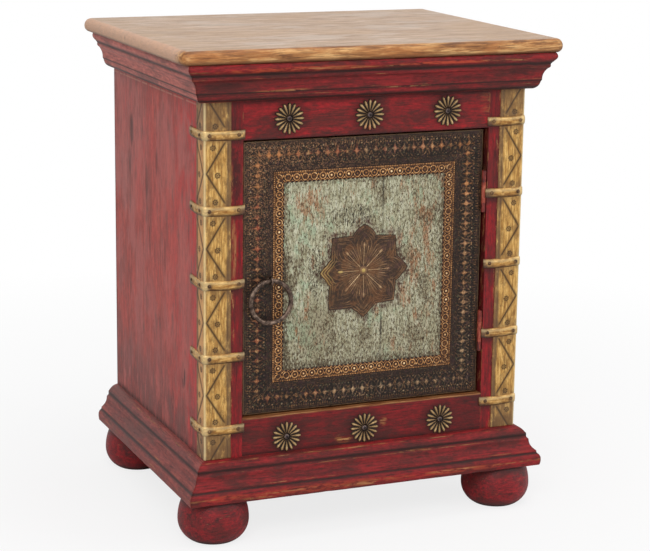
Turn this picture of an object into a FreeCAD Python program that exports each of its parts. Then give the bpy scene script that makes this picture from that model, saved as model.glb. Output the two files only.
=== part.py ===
import FreeCAD, Part
import math
import os

# A bedside cabinet in painted hardwood with brass corner fittings.
# Millimetres. X runs to the viewer's right, Y to the back, Z up.
# The origin is on the floor under the middle of the top board.

# Carcass
body_width = 416.0
body_depth = 354.0
overall_height = 596.5
side_thickness = 18.0
back_thickness = 9.0
back_rebate = 7.0
tongue_thickness = 6.0
tongue_depth = 5.0
floor_thickness = 15.0
floor_drop = 4.0
floor_dado = 6.0
base_thickness = 18.0

# Front frame
stile_width = 48.0
frame_thickness = 22.0
top_rail_reveal = 46.5
bottom_rail_reveal = 47.0
tenon_thickness = 8.0
tenon_length = 22.0
tenon_shoulder = 10.0

# Top board
top_thickness = 17.0
top_side_overhang = 38.0
top_front_overhang = 31.5
top_back_overhang = 14.5
top_corner_radius = 12.0
nose_upper_share = 0.52
nose_lower_share = 0.44

# Mouldings, mitred at the front corners
cornice_height = 45.5
cornice_projection = 28.8
plinth_height = 49.0
plinth_projection = 27.7

# Each outline point is a share of the projection, a share of the height,
# and the bulge of the line that leads to it, as a share of its length.
cornice_shares = [
    (0.00, 0.000, 0.00),
    (0.25, 0.000, 0.00),
    (0.48, 0.200, 0.14),
    (0.53, 0.250, 0.00),
    (0.70, 0.575, -0.10),
    (0.77, 0.600, 0.00),
    (0.79, 0.660, 0.00),
    (0.77, 0.690, 0.00),
    (0.90, 0.790, 0.00),
    (0.95, 1.000, 0.22),
    (0.00, 1.000, 0.00),
]
plinth_shares = [
    (0.00, 0.000, 0.00),
    (0.94, 0.000, 0.00),
    (0.98, 0.210, 0.05),
    (0.86, 0.320, 0.10),
    (0.83, 0.330, 0.00),
    (0.83, 0.385, 0.00),
    (0.55, 0.680, -0.14),
    (0.46, 0.720, 0.00),
    (0.46, 0.830, 0.00),
    (0.42, 0.840, 0.00),
    (0.00, 1.000, 0.12),
]

# Bun feet
foot_height = 54.0
foot_radius = 43.4
foot_waist_height = 25.5
foot_base_radius = 28.0
foot_neck_radius = 36.5
foot_side_inset = 43.8
foot_front_inset = 42.0
foot_back_inset = 39.4
spigot_radius = 9.0
spigot_length = 14.0

# Cleats that hold the top board
cleat_section = 20.0
cleat_setback = 14.0
cleat_screw_share = 0.36

# Brass corner angles, straps and their hand-made nails
angle_thickness = 0.8
angle_front_leaf = 32.0
angle_side_leaf = 25.0
strap_count = 5
strap_bottom_inset = 36.0
strap_top_inset = 39.0
strap_width = 11.5
strap_edge_thickness = 0.7
strap_crown_thickness = 1.7
strap_front_reach = 47.5
strap_side_reach = 45.0
strap_nail_inset = 5.5
nail_sides = 8
nail_head_radius = 2.1
nail_head_height = 1.3
nail_shank = 1.4
nail_length = 12.0
nail_tip_share = 0.5
nail_head_shares = [(1.0, 0.0), (0.86, 0.55), (0.3, 1.0)]

# Brass rosettes on the rails: a plate with a boss, and faceted teardrop petals on it
rosette_spacing = 103.0
rosette_radius = 18.75
rosette_petals = 16
rosette_drop = 4.4
plate_height = 1.9
plate_shares = [
    (0.00, 0.00, 0.00),
    (0.76, 0.00, 0.00),
    (0.76, 0.30, 0.00),
    (0.33, 0.48, 0.00),
    (0.27, 1.00, 0.12),
    (0.00, 1.00, 0.00),
]
petal_half_width = 2.6
petal_facets = 4
# A petal's sections: a share of the rosette's radius and of the petal's half width
petal_shares = [(0.31, 0.27), (0.60, 0.66), (0.86, 1.00), (0.95, 0.78), (1.00, 0.20)]
rosette_nail_radius = 3.6
rosette_nail_height = 2.2

# Door of three planks with two ledges behind
door_hinge_gap = 4.0
door_latch_gap = 3.0
door_bottom_gap = 2.0
door_top_gap = 3.0
door_recess = 7.0
plank_thickness = 18.0
plank_left_width = 90.0
plank_middle_width = 90.0
seam_chamfer = 0.8
ledge_width = 42.0
ledge_thickness = 12.0
ledge_end_gap = 18.0
ledge_inset = 46.0

# Metal on the door
border_width = 37.0
border_thickness = 1.0
band_width = 15.0
band_thickness = 1.3
medallion_radius = 59.5
medallion_rise = 1.25
medallion_sheet = 1.0
medallion_relief = 0.8
medallion_ribs = 24
rib_width = 1.8
# A rib's start and end: a share of the medallion's radius and of the rib's width
rib_shares = [(0.13, 0.5), (0.56, 1.0)]
# The raised rim's outer and inner edge, and the raised leaf inside it
rim_outer_share = 0.93
rim_inner_share = 0.86
leaf_share = 0.76
square_share = 0.72
valley_share = 0.27
valley_out_share = 0.75
petal_bulge_share = 0.12

# Ring pull and its two-legged staple
ring_outer_diameter = 57.5
ring_wire = 6.2
ring_inset = 31.8
pull_drop = 0.6
eye_wire = 2.8
eye_play = 0.6
eye_standoff = 2.0
staple_shank = 4.0
staple_leg_length = 9.0
staple_leg_wire = 2.2

# Butt hinges
hinge_length = 50.0
hinge_top_inset = 76.5
hinge_bottom_inset = 79.0
barrel_diameter = 5.6
barrel_front_clearance = 0.3
barrel_side_clearance = 0.1
pin_diameter = 2.6
pin_clearance = 0.05
pin_head_height = 0.8
leaf_thickness = 1.3
leaf_width = 18.0
knuckle_gap = 0.3
middle_knuckle_share = 0.4
leaf_screw_share = 0.28

# Countersunk screws
screw_head_radius = 2.4
screw_head_depth = 1.2
screw_radius = 1.2
screw_length = 12.0
cleat_screw_radius = 2.0
cleat_screw_head_radius = 3.6
cleat_screw_head_depth = 2.4
cleat_screw_bite = 9.0

# Stop block with its magnet, and the strike plate on the door
stop_block_height = 40.0
stop_block_depth = 16.0
stop_block_reach = 14.0
stop_clearance = 0.3
magnet_radius = 4.0
magnet_depth = 5.0
magnet_inset = 6.5
strike_width = 15.0
strike_height = 24.0
strike_thickness = 1.0

# Extra length of a cutting tool past the face it cuts
overrun = 2.0

# Places worked out from the sizes above
top_width = body_width + 2 * top_side_overhang
top_depth = body_depth + top_front_overhang + top_back_overhang
side_x = body_width / 2
inner_x = side_x - side_thickness
front_y = top_front_overhang - top_depth / 2
back_y = front_y + body_depth
frame_back_y = front_y + frame_thickness
base_z = foot_height
carcass_z = foot_height + base_thickness
plinth_top_z = foot_height + plinth_height
carcass_top_z = overall_height - top_thickness
cornice_z = carcass_top_z - cornice_height
opening_x = side_x - stile_width
opening_bottom = plinth_top_z + bottom_rail_reveal
opening_top = cornice_z - top_rail_reveal
floor_top = opening_bottom - floor_drop

door_left = door_latch_gap - opening_x
door_right = opening_x - door_hinge_gap
door_bottom = opening_bottom + door_bottom_gap
door_top = opening_top - door_top_gap
door_y = front_y + door_recess
door_back_y = door_y + plank_thickness
metal_y = door_y - border_thickness
door_middle_x = (door_left + door_right) / 2
door_middle_z = (door_bottom + door_top) / 2
medallion_z = door_middle_z + medallion_rise

barrel_radius = barrel_diameter / 2
axis_x = opening_x - barrel_side_clearance - barrel_radius
axis_y = metal_y - barrel_front_clearance - barrel_radius

ring_x = door_left + ring_inset
ring_mean_radius = (ring_outer_diameter - ring_wire) / 2
eye_mean_radius = (ring_wire + eye_wire) / 2 + eye_play
pivot_y = metal_y - eye_standoff - eye_mean_radius - eye_wire / 2
pivot_z = door_middle_z - pull_drop

outward = FreeCAD.Vector(0, -1, 0)
rightward = FreeCAD.Vector(1, 0, 0)
leftward = FreeCAD.Vector(-1, 0, 0)
backward = FreeCAD.Vector(0, 1, 0)
upward = FreeCAD.Vector(0, 0, 1)


def vec(x, y, z):
    return FreeCAD.Vector(x, y, z)


def block(x, y, z):
    """A rectangular solid from three (low, high) pairs."""
    return Part.makeBox(x[1] - x[0], y[1] - y[0], z[1] - z[0], vec(x[0], y[0], z[0]))


def rod(radius, start, direction, length):
    return Part.makeCylinder(radius, length, start, direction)


def outline(points, place):
    """A closed face through (a, b, bulge) points that place puts in space."""
    edges = []
    for here, there in zip(points, points[1:] + points[:1]):
        bulge = there[2]
        if bulge == 0:
            edges.append(Part.LineSegment(place(here[0], here[1]), place(there[0], there[1])).toShape())
            continue
        run = there[0] - here[0]
        rise = there[1] - here[1]
        middle_a = (here[0] + there[0]) / 2 + bulge * rise
        middle_b = (here[1] + there[1]) / 2 - bulge * run
        arc = Part.Arc(place(here[0], here[1]), place(middle_a, middle_b), place(there[0], there[1]))
        edges.append(arc.toShape())
    return Part.Face(Part.Wire(edges))


def scaled(shares, a_size, b_size):
    return [(a * a_size, b * b_size, bulge) for a, b, bulge in shares]


def plan_prism(corners, low, high):
    """An upright prism over a polygon of (x, y) corners."""
    wire = Part.makePolygon([vec(x, y, low) for x, y in corners + corners[:1]])
    return Part.Face(wire).extrude(vec(0, 0, high - low))


def mirrored(shape):
    return shape.mirror(vec(0, 0, 0), rightward)


def turned_to(shape, origin, direction):
    """A copy of a shape made along +Z, moved to origin and turned to direction."""
    copy = shape.copy()
    place = FreeCAD.Placement(origin, FreeCAD.Rotation(upward, direction))
    copy.Placement = place.multiply(copy.Placement)
    return copy


def cut_all(shape, tools):
    return shape.cut(Part.makeCompound(tools)) if tools else shape


def save(name, solids):
    """One file for a node: a solid, or a group of separate solids."""
    if not isinstance(solids, list):
        solids = [solids]
    pieces = []
    for solid in solids:
        pieces.extend(solid.Solids)
    shape = pieces[0] if len(pieces) == 1 else Part.makeCompound(pieces)
    shape.exportStep(os.path.join("parts", name + ".step"))


def faceted_nail(head_radius, head_height, shank, length):
    """A hand-forged nail, head up: facets on the head, a square tapered shank."""
    wires = []
    for radius_share, height_share in nail_head_shares:
        ring = []
        for step in range(nail_sides + 1):
            turn = 2 * math.pi * step / nail_sides
            reach = head_radius * radius_share
            ring.append(vec(reach * math.cos(turn), reach * math.sin(turn), head_height * height_share))
        wires.append(Part.makePolygon(ring))
    head = Part.makeLoft(wires, True, True)
    squares = []
    for width, depth in ((shank, 0), (shank * nail_tip_share, -length)):
        half = width / 2
        corners = [vec(x * half, y * half, depth) for x, y in ((-1, -1), (1, -1), (1, 1), (-1, 1))]
        squares.append(Part.makePolygon(corners + corners[:1]))
    return head.fuse(Part.makeLoft(squares, True, True)).removeSplitter()


def screw(head_radius, head_depth, radius, length):
    """A countersunk screw whose flat head lies at z = 0."""
    points = [(0, 0, 0), (head_radius, 0, 0), (radius, -head_depth, 0), (radius, -length, 0), (0, -length, 0)]
    return outline(points, lambda a, b: vec(a, 0, b)).revolve(vec(0, 0, 0), upward, 360)


def moulding(shares, projection, height, low_z):
    """Front, left and right lengths of one moulding, mitred at the front corners."""
    points = scaled(shares, projection, height)
    reach = projection * 2
    high_z = low_z + height
    front_face = outline(points, lambda a, b: vec(-side_x - reach, front_y - a, low_z + b))
    front = front_face.extrude(vec(2 * (side_x + reach), 0, 0))
    mitre = [
        (-side_x, front_y),
        (-side_x - reach, front_y - reach),
        (side_x + reach, front_y - reach),
        (side_x, front_y),
    ]
    front = front.common(plan_prism(mitre, low_z, high_z))
    side_face = outline(points, lambda a, b: vec(side_x + a, front_y - reach, low_z + b))
    side = side_face.extrude(vec(0, body_depth + reach, 0))
    mitre = [
        (side_x, front_y),
        (side_x + reach, front_y - reach),
        (side_x + reach, back_y),
        (side_x, back_y),
    ]
    side = side.common(plan_prism(mitre, low_z, high_z))
    return front, mirrored(side), side


def make_top_board():
    """Solid board with rounded plan corners and a bullnose edge all round."""
    half_x = top_width / 2
    half_y = top_depth / 2
    board = block((-half_x, half_x), (-half_y, half_y), (carcass_top_z, overall_height))
    middle = carcass_top_z + top_thickness / 2
    corners = [edge for edge in board.Edges if edge.BoundBox.ZMin < middle < edge.BoundBox.ZMax]
    board = board.makeFillet(top_corner_radius, corners)
    lower_rim = [edge for edge in board.Edges if edge.BoundBox.ZMax < middle]
    board = board.makeFillet(top_thickness * nose_lower_share, lower_rim)
    upper_rim = [edge for edge in board.Edges if edge.BoundBox.ZMin > middle]
    return board.makeFillet(top_thickness * nose_upper_share, upper_rim)


def make_foot():
    """Turned bun foot with its spigot, around the Z axis."""

    def bulge_of(run, rise):
        """Bulge of an arc that stands upright at the foot's widest point."""
        radius = (run * run + rise * rise) / (2 * run)
        chord = math.hypot(run, rise)
        return (radius - math.sqrt(radius * radius - chord * chord / 4)) / chord

    lower = bulge_of(foot_radius - foot_base_radius, foot_waist_height)
    upper = bulge_of(foot_radius - foot_neck_radius, foot_height - foot_waist_height)
    points = [
        (0, 0, 0),
        (foot_base_radius, 0, 0),
        (foot_radius, foot_waist_height, lower),
        (foot_neck_radius, foot_height, upper),
        (spigot_radius, foot_height, 0),
        (spigot_radius, foot_height + spigot_length, 0),
        (0, foot_height + spigot_length, 0),
    ]
    return outline(points, lambda a, b: vec(a, 0, b)).revolve(vec(0, 0, 0), upward, 360)


def foot_places():
    x = side_x + plinth_projection - foot_side_inset
    front = front_y - plinth_projection + foot_front_inset
    back = back_y - foot_back_inset
    return {
        "foot_front_left": vec(-x, front, 0),
        "foot_front_right": vec(x, front, 0),
        "foot_back_left": vec(-x, back, 0),
        "foot_back_right": vec(x, back, 0),
    }


def make_rail(low, high):
    """Front rail between the stiles with a tenon at each end."""
    rail = block((-opening_x, opening_x), (front_y, frame_back_y), (low, high))
    tenon_y = front_y + (frame_thickness - tenon_thickness) / 2
    reach = opening_x + tenon_length
    tenons = block(
        (-reach, reach),
        (tenon_y, tenon_y + tenon_thickness),
        (low + tenon_shoulder, high - tenon_shoulder),
    )
    return rail.fuse(tenons).removeSplitter()


def make_side_panel():
    """Right side board: tongue into the stile, dado for the floor, rebate for the back."""
    panel = block((inner_x, side_x), (frame_back_y, back_y), (carcass_z, carcass_top_z))
    tongue_x = inner_x + (side_thickness - tongue_thickness) / 2
    tongue = block(
        (tongue_x, tongue_x + tongue_thickness),
        (frame_back_y - tongue_depth, frame_back_y),
        (carcass_z, carcass_top_z),
    )
    rebate = block(
        (inner_x - overrun, inner_x + back_rebate),
        (back_y - back_thickness, back_y + overrun),
        (carcass_z - overrun, carcass_top_z + overrun),
    )
    dado = block(
        (inner_x - overrun, inner_x + floor_dado),
        (frame_back_y - overrun, back_y - back_thickness),
        (floor_top - floor_thickness, floor_top),
    )
    return panel.cut(dado).cut(rebate).fuse(tongue).removeSplitter(), tongue


def make_corner_angle():
    """Right brass angle: a front leaf and a side leaf of one bent sheet."""
    height = (plinth_top_z, cornice_z)
    outer_x = side_x + angle_thickness
    outer_y = front_y - angle_thickness
    front_leaf = block((side_x - angle_front_leaf, outer_x), (outer_y, front_y), height)
    side_leaf = block((side_x, outer_x), (outer_y, front_y + angle_side_leaf), height)
    return front_leaf.fuse(side_leaf).removeSplitter()


def make_strap(height):
    """Right strap: a crowned strip bent round the corner over the angle."""
    half = strap_width / 2
    edge = angle_thickness + strap_edge_thickness
    crown = angle_thickness + strap_crown_thickness
    rise = (crown - edge) / strap_width
    points = [(0, -half, 0), (edge, -half, 0), (edge, half, rise), (0, half, 0)]
    reach = crown * 2
    front_face = outline(points, lambda a, b: vec(side_x - strap_front_reach, front_y - a, height + b))
    front = front_face.extrude(vec(strap_front_reach + reach, 0, 0))
    mitre = [
        (side_x - strap_front_reach, front_y),
        (side_x - strap_front_reach, front_y - reach),
        (side_x + reach, front_y - reach),
        (side_x, front_y),
    ]
    front = front.common(plan_prism(mitre, height - half, height + half))
    side_face = outline(points, lambda a, b: vec(side_x + a, front_y + strap_side_reach, height + b))
    side = side_face.extrude(vec(0, -strap_side_reach - reach, 0))
    mitre = [
        (side_x, front_y + strap_side_reach),
        (side_x + reach, front_y + strap_side_reach),
        (side_x + reach, front_y - reach),
        (side_x, front_y),
    ]
    side = side.common(plan_prism(mitre, height - half, height + half))
    return front.fuse(side).removeSplitter()


def strap_nails(height):
    """Four nails of the right strap: two in front and two on the side."""
    nail = faceted_nail(nail_head_radius, nail_head_height, nail_shank, nail_length)
    seat = angle_thickness + strap_crown_thickness
    nails = []
    for x in (side_x - strap_nail_inset, side_x - strap_front_reach + strap_nail_inset):
        nails.append(turned_to(nail, vec(x, front_y - seat, height), outward))
    for y in (front_y + frame_thickness / 2, front_y + strap_side_reach - strap_nail_inset):
        nails.append(turned_to(nail, vec(side_x + seat, y, height), rightward))
    return nails


def make_rosette():
    """Brass rosette facing +Z: a bossed plate under a ring of half-round teardrop petals."""
    points = scaled(plate_shares, rosette_radius, plate_height)
    plate = outline(points, lambda a, b: vec(a, 0, b)).revolve(vec(0, 0, 0), upward, 360)
    sections = []
    for reach_share, width_share in petal_shares:
        arch = []
        for step in range(petal_facets + 1):
            turn = math.pi * step / petal_facets
            half = petal_half_width * width_share
            arch.append(vec(rosette_radius * reach_share, half * math.cos(turn), half * math.sin(turn)))
        sections.append(Part.makePolygon(arch + arch[:1]))
    petal = Part.makeLoft(sections, True, True)
    petals = []
    for step in range(rosette_petals):
        copy = petal.copy()
        copy.rotate(vec(0, 0, 0), upward, 360 * step / rosette_petals)
        petals.append(copy)
    return plate.fuse(petals).removeSplitter()


def rosette_places(height):
    return [vec(x, front_y, height) for x in (-rosette_spacing, 0, rosette_spacing)]


def medallion_face(size, plane_y):
    """Outline of the eight-petalled medallion: four points and four square corners."""
    points = []
    quarter = [
        (-square_share, square_share, 0),
        (-valley_share, valley_out_share, 0),
        (0, 1, -petal_bulge_share),
        (valley_share, valley_out_share, -petal_bulge_share),
    ]
    for turn in range(4):
        cosine = round(math.cos(turn * math.pi / 2))
        sine = round(math.sin(turn * math.pi / 2))
        for a, b, bulge in quarter:
            points.append(((a * cosine + b * sine) * size, (b * cosine - a * sine) * size, bulge))
    return outline(points, lambda a, b: vec(door_middle_x + a, plane_y, medallion_z + b))


def make_medallion():
    """Embossed sheet with a raised rim, a raised inner leaf and ribs that run out from the middle."""
    sheet = medallion_face(medallion_radius, door_y).extrude(outward * medallion_sheet)
    face_y = door_y - medallion_sheet
    rim = medallion_face(medallion_radius * rim_outer_share, face_y)
    rim = rim.cut(medallion_face(medallion_radius * rim_inner_share, face_y))
    leaf = medallion_face(medallion_radius * leaf_share, face_y)
    shape = sheet.fuse([rim.extrude(outward * medallion_relief), leaf.extrude(outward * medallion_relief)])
    rib_y = face_y - medallion_relief
    ribs = []
    for rib in range(medallion_ribs):
        sections = []
        for share, width_share in rib_shares:
            reach = medallion_radius * share
            half = rib_width * width_share / 2
            corners = [
                vec(-half, rib_y, reach),
                vec(half, rib_y, reach),
                vec(0, rib_y - medallion_relief * width_share, reach),
            ]
            sections.append(Part.makePolygon(corners + corners[:1]))
        ridge = Part.makeLoft(sections, True, True)
        ridge.rotate(vec(0, 0, 0), backward, 360 * (rib + 0.5) / medallion_ribs)
        ridge.translate(vec(door_middle_x, 0, medallion_z))
        ribs.append(ridge)
    return shape.fuse(ribs).removeSplitter()


def frame_strips(inset, width, thickness):
    """Four mitred strips of sheet round the door face, inset from the door's edge."""
    left = door_left + inset
    right = door_right - inset
    low = door_bottom + inset
    high = door_top - inset
    rings = [
        [(left, low), (right, low), (right - width, low + width), (left + width, low + width)],
        [(right, low), (right, high), (right - width, high - width), (right - width, low + width)],
        [(right, high), (left, high), (left + width, high - width), (right - width, high - width)],
        [(left, high), (left, low), (left + width, low + width), (left + width, high - width)],
    ]
    strips = []
    for corners in rings:
        wire = Part.makePolygon([vec(x, door_y, z) for x, z in corners + corners[:1]])
        strips.append(Part.Face(wire).extrude(outward * thickness))
    return strips


def make_plank(left, right, tongue, groove):
    """Door plank with its tongue on the right and its groove on the left."""
    height = (door_bottom, door_top)
    plank = block((left, right), (door_y, door_back_y), height)
    tongue_y = door_y + (plank_thickness - tongue_thickness) / 2
    across = (tongue_y, tongue_y + tongue_thickness)
    corner = [(0, 0), (seam_chamfer, 0), (0, seam_chamfer)]
    if groove:
        plank = plank.cut(block((left - overrun, left + tongue_depth), across, height))
        bevel = [(left + a, door_y + b) for a, b in corner]
        plank = plank.cut(plan_prism(bevel, door_bottom, door_top))
    if tongue:
        bevel = [(right - a, door_y + b) for a, b in corner]
        plank = plank.cut(plan_prism(bevel, door_bottom, door_top))
        plank = plank.fuse(block((right, right + tongue_depth), across, height)).removeSplitter()
    return plank


def make_staple():
    """Eye for the ring, with a shank through the door and two legs bent behind it."""
    eye = Part.makeTorus(eye_mean_radius, eye_wire / 2, vec(ring_x, pivot_y, pivot_z), rightward)
    start = pivot_y + eye_mean_radius
    leg_radius = staple_leg_wire / 2
    leg_y = door_back_y + leg_radius
    shank = rod(staple_shank / 2, vec(ring_x, start, pivot_z), backward, leg_y + leg_radius - start)
    legs = rod(leg_radius, vec(ring_x - staple_leg_length, leg_y, pivot_z), rightward, 2 * staple_leg_length)
    return eye.fuse([shank, legs]).removeSplitter()


def make_hinge(height):
    """Frame leaf, door leaf and pin of one butt hinge, with its screws."""
    low = height - hinge_length / 2
    high = height + hinge_length / 2
    half_middle = hinge_length * middle_knuckle_share / 2
    outer_ranges = [(low, height - half_middle), (height + half_middle, high)]
    inner_range = (height - half_middle + knuckle_gap, height + half_middle - knuckle_gap)
    clear_radius = barrel_radius + knuckle_gap

    def barrel(radius, span):
        return rod(radius, vec(axis_x, axis_y, span[0]), upward, span[1] - span[0])

    leaf_y = (axis_y, axis_y + leaf_width)
    frame_leaf = block((opening_x - leaf_thickness, opening_x), leaf_y, (low, high))
    middle_room = (inner_range[0] - knuckle_gap, inner_range[1] + knuckle_gap)
    frame_leaf = frame_leaf.cut(barrel(clear_radius, middle_room))
    frame_leaf = frame_leaf.fuse([barrel(barrel_radius, span) for span in outer_ranges])

    door_leaf = block((door_right, door_right + leaf_thickness), leaf_y, (low, high))
    lower_room = (low - overrun, outer_ranges[0][1] + knuckle_gap)
    upper_room = (outer_ranges[1][0] - knuckle_gap, high + overrun)
    door_leaf = cut_all(door_leaf, [barrel(clear_radius, span) for span in (lower_room, upper_room)])
    door_leaf = door_leaf.fuse(barrel(barrel_radius, inner_range))

    bore = barrel(pin_diameter / 2 + pin_clearance, (low - overrun, high + overrun))
    frame_leaf = frame_leaf.cut(bore).removeSplitter()
    door_leaf = door_leaf.cut(bore).removeSplitter()

    pin = barrel(pin_diameter / 2, (low, high))
    lower_head = barrel(barrel_radius, (low - pin_head_height, low))
    upper_head = barrel(barrel_radius, (high, high + pin_head_height))
    pin = pin.fuse([lower_head, upper_head]).removeSplitter()

    unit = screw(screw_head_radius, screw_head_depth, screw_radius, screw_length)
    frame_screws = []
    door_screws = []
    screw_y = (door_y + axis_y + leaf_width) / 2
    for sign in (-1, 1):
        z = height + sign * hinge_length * leaf_screw_share
        frame_screws.append(turned_to(unit, vec(opening_x - leaf_thickness, screw_y, z), leftward))
        door_screws.append(turned_to(unit, vec(door_right + leaf_thickness, screw_y, z), rightward))
    frame_leaf = cut_all(frame_leaf, frame_screws)
    door_leaf = cut_all(door_leaf, door_screws)
    return frame_leaf, door_leaf, pin, frame_screws, door_screws


# Carcass boards and front frame
side_right, tongue_right = make_side_panel()
stile_right = block((opening_x, side_x), (front_y, frame_back_y), (carcass_z, carcass_top_z))
bottom_rail = make_rail(carcass_z, opening_bottom)
top_rail = make_rail(opening_top, carcass_top_z)
stile_right = cut_all(stile_right, [tongue_right, bottom_rail, top_rail])
stile_left = mirrored(stile_right)
side_left = mirrored(side_right)

# Brass on the posts, with the nails' holes in whatever they pass through
straps_right = []
nails_right = []
angle_right = make_corner_angle()
lowest_strap_z = plinth_top_z + strap_bottom_inset
strap_pitch = (cornice_z - strap_top_inset - lowest_strap_z) / (strap_count - 1)
for step in range(strap_count):
    height = lowest_strap_z + step * strap_pitch
    nails = strap_nails(height)
    straps_right.append(cut_all(make_strap(height), nails + [angle_right]))
    nails_right.extend(nails)
angle_right = cut_all(angle_right, nails_right)
stile_left = cut_all(stile_left, [mirrored(nail) for nail in nails_right])
side_left = cut_all(side_left, [mirrored(nail) for nail in nails_right])
stile_right = cut_all(stile_right, nails_right)
side_right = cut_all(side_right, nails_right)

save("corner_angle_right", angle_right)
save("corner_angle_left", mirrored(angle_right))
save("straps_right", straps_right)
save("straps_left", [mirrored(strap) for strap in straps_right])
save("strap_nails_right", nails_right)
save("strap_nails_left", [mirrored(nail) for nail in nails_right])
save("side_panel_right", side_right)
save("side_panel_left", side_left)
save("front_stile_left", stile_left)

# Rosettes, three on each rail
rosette = make_rosette()
rosette_nail = faceted_nail(rosette_nail_radius, rosette_nail_height, nail_shank, nail_length + plate_height)
rosette_nail.translate(vec(0, 0, plate_height))
rosette = rosette.cut(rosette_nail)
rosette_nails = []
for name, height in (
    ("top", (opening_top + cornice_z) / 2),
    ("bottom", (opening_bottom + plinth_top_z) / 2 - rosette_drop),
):
    places = rosette_places(height)
    save("rosettes_" + name, [turned_to(rosette, place, outward) for place in places])
    rosette_nails.extend([turned_to(rosette_nail, place, outward) for place in places])
save("rosette_nails", rosette_nails)
post_nails = nails_right + [mirrored(nail) for nail in nails_right]
save("top_rail", cut_all(top_rail, rosette_nails[:3] + post_nails))
save("bottom_rail", cut_all(bottom_rail, rosette_nails[3:] + post_nails))

# Back, cabinet floor and base board
save("back_panel", block(
    (-inner_x - back_rebate, inner_x + back_rebate),
    (back_y - back_thickness, back_y),
    (carcass_z, carcass_top_z),
))
save("floor_panel", block(
    (-inner_x - floor_dado, inner_x + floor_dado),
    (frame_back_y, back_y - back_thickness),
    (floor_top - floor_thickness, floor_top),
))
base_board = block((-side_x, side_x), (front_y, back_y), (base_z, carcass_z))

# Feet, each with its spigot in the base board
foot = make_foot()
for name, place in foot_places().items():
    placed = foot.copy()
    placed.translate(place)
    base_board = base_board.cut(placed)
    save(name, placed)
save("base_board", base_board)

# Mouldings
for name, pieces in (
    ("cornice", moulding(cornice_shares, cornice_projection, cornice_height, cornice_z)),
    ("plinth", moulding(plinth_shares, plinth_projection, plinth_height, base_z)),
):
    for side, piece in zip(("front", "left", "right"), pieces):
        save(name + "_" + side, piece)

# Top board, the cleats under it and their screws
top_board = make_top_board()
cleat_y = (frame_back_y + cleat_setback, back_y - back_thickness - cleat_setback)
cleat = block((inner_x - cleat_section, inner_x), cleat_y, (carcass_top_z - cleat_section, carcass_top_z))
cleat_screw = screw(
    cleat_screw_head_radius, cleat_screw_head_depth, cleat_screw_radius, cleat_section + cleat_screw_bite)
cleat_screws = []
for x in (-1, 1):
    for y in (-1, 1):
        middle = (cleat_y[0] + cleat_y[1]) / 2
        place = vec(
            x * (inner_x - cleat_section / 2),
            middle + y * (cleat_y[1] - cleat_y[0]) * cleat_screw_share,
            carcass_top_z - cleat_section,
        )
        cleat_screws.append(turned_to(cleat_screw, place, vec(0, 0, -1)))
save("top_board", cut_all(top_board, cleat_screws))
save("top_cleat_right", cut_all(cleat, cleat_screws[2:]))
save("top_cleat_left", cut_all(mirrored(cleat), cleat_screws[:2]))
save("cleat_screws", cleat_screws)

# Stop block behind the left stile, with its magnet
stop_front_y = door_back_y + strike_thickness + stop_clearance
stop_z = (door_middle_z - stop_block_height / 2, door_middle_z + stop_block_height / 2)
stop_back_y = frame_back_y + stop_block_depth
stop_block = block((-inner_x, -opening_x), (frame_back_y, stop_back_y), stop_z)
stop_lip = block((-opening_x, -opening_x + stop_block_reach), (stop_front_y, stop_back_y), stop_z)
magnet_x = -opening_x + stop_block_reach - magnet_inset
magnet = rod(magnet_radius, vec(magnet_x, stop_front_y, door_middle_z), backward, magnet_depth)
save("stop_block", stop_block.fuse(stop_lip).removeSplitter().cut(magnet))
save("catch_magnet", magnet)
save("strike_plate", block(
    (door_left, door_left + strike_width),
    (door_back_y, door_back_y + strike_thickness),
    (door_middle_z - strike_height / 2, door_middle_z + strike_height / 2),
))

# Hinges
hinge_frame_screws = []
hinge_door_screws = []
for name, height in (("upper", door_top - hinge_top_inset), ("lower", door_bottom + hinge_bottom_inset)):
    frame_leaf, door_leaf, pin, frame_screws, door_screws = make_hinge(height)
    save("hinge_" + name + "_frame_leaf", frame_leaf)
    save("hinge_" + name + "_door_leaf", door_leaf)
    save("hinge_" + name + "_pin", pin)
    hinge_frame_screws.extend(frame_screws)
    hinge_door_screws.extend(door_screws)
save("hinge_frame_screws", hinge_frame_screws)
save("hinge_door_screws", hinge_door_screws)
save("front_stile_right", cut_all(stile_right, hinge_frame_screws))

# Door planks, ledges and the metal on the door's face
staple = make_staple()
medallion_nail = turned_to(
    faceted_nail(rosette_nail_radius, rosette_nail_height, nail_shank, nail_length),
    vec(door_middle_x, door_y - medallion_sheet - medallion_relief, medallion_z),
    outward,
)
seam_left = door_left + plank_left_width
seam_right = seam_left + plank_middle_width
ledge_x = (door_left + ledge_end_gap, door_right - ledge_end_gap)
ledge_nail = faceted_nail(nail_head_radius, nail_head_height, nail_shank, ledge_thickness + nail_length)
ledge_nails = []
for name, low in (
    ("lower", door_bottom + ledge_inset),
    ("upper", door_top - ledge_inset - ledge_width),
):
    ledge = block(ledge_x, (door_back_y, door_back_y + ledge_thickness), (low, low + ledge_width))
    nails = []
    for x in ((door_left + seam_left) / 2, (seam_left + seam_right) / 2, (seam_right + door_right) / 2):
        place = vec(x, door_back_y + ledge_thickness, low + ledge_width / 2)
        nails.append(turned_to(ledge_nail, place, backward))
    save("door_ledge_" + name, cut_all(ledge, nails))
    ledge_nails.extend(nails)
save("ledge_nails", ledge_nails)

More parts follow.
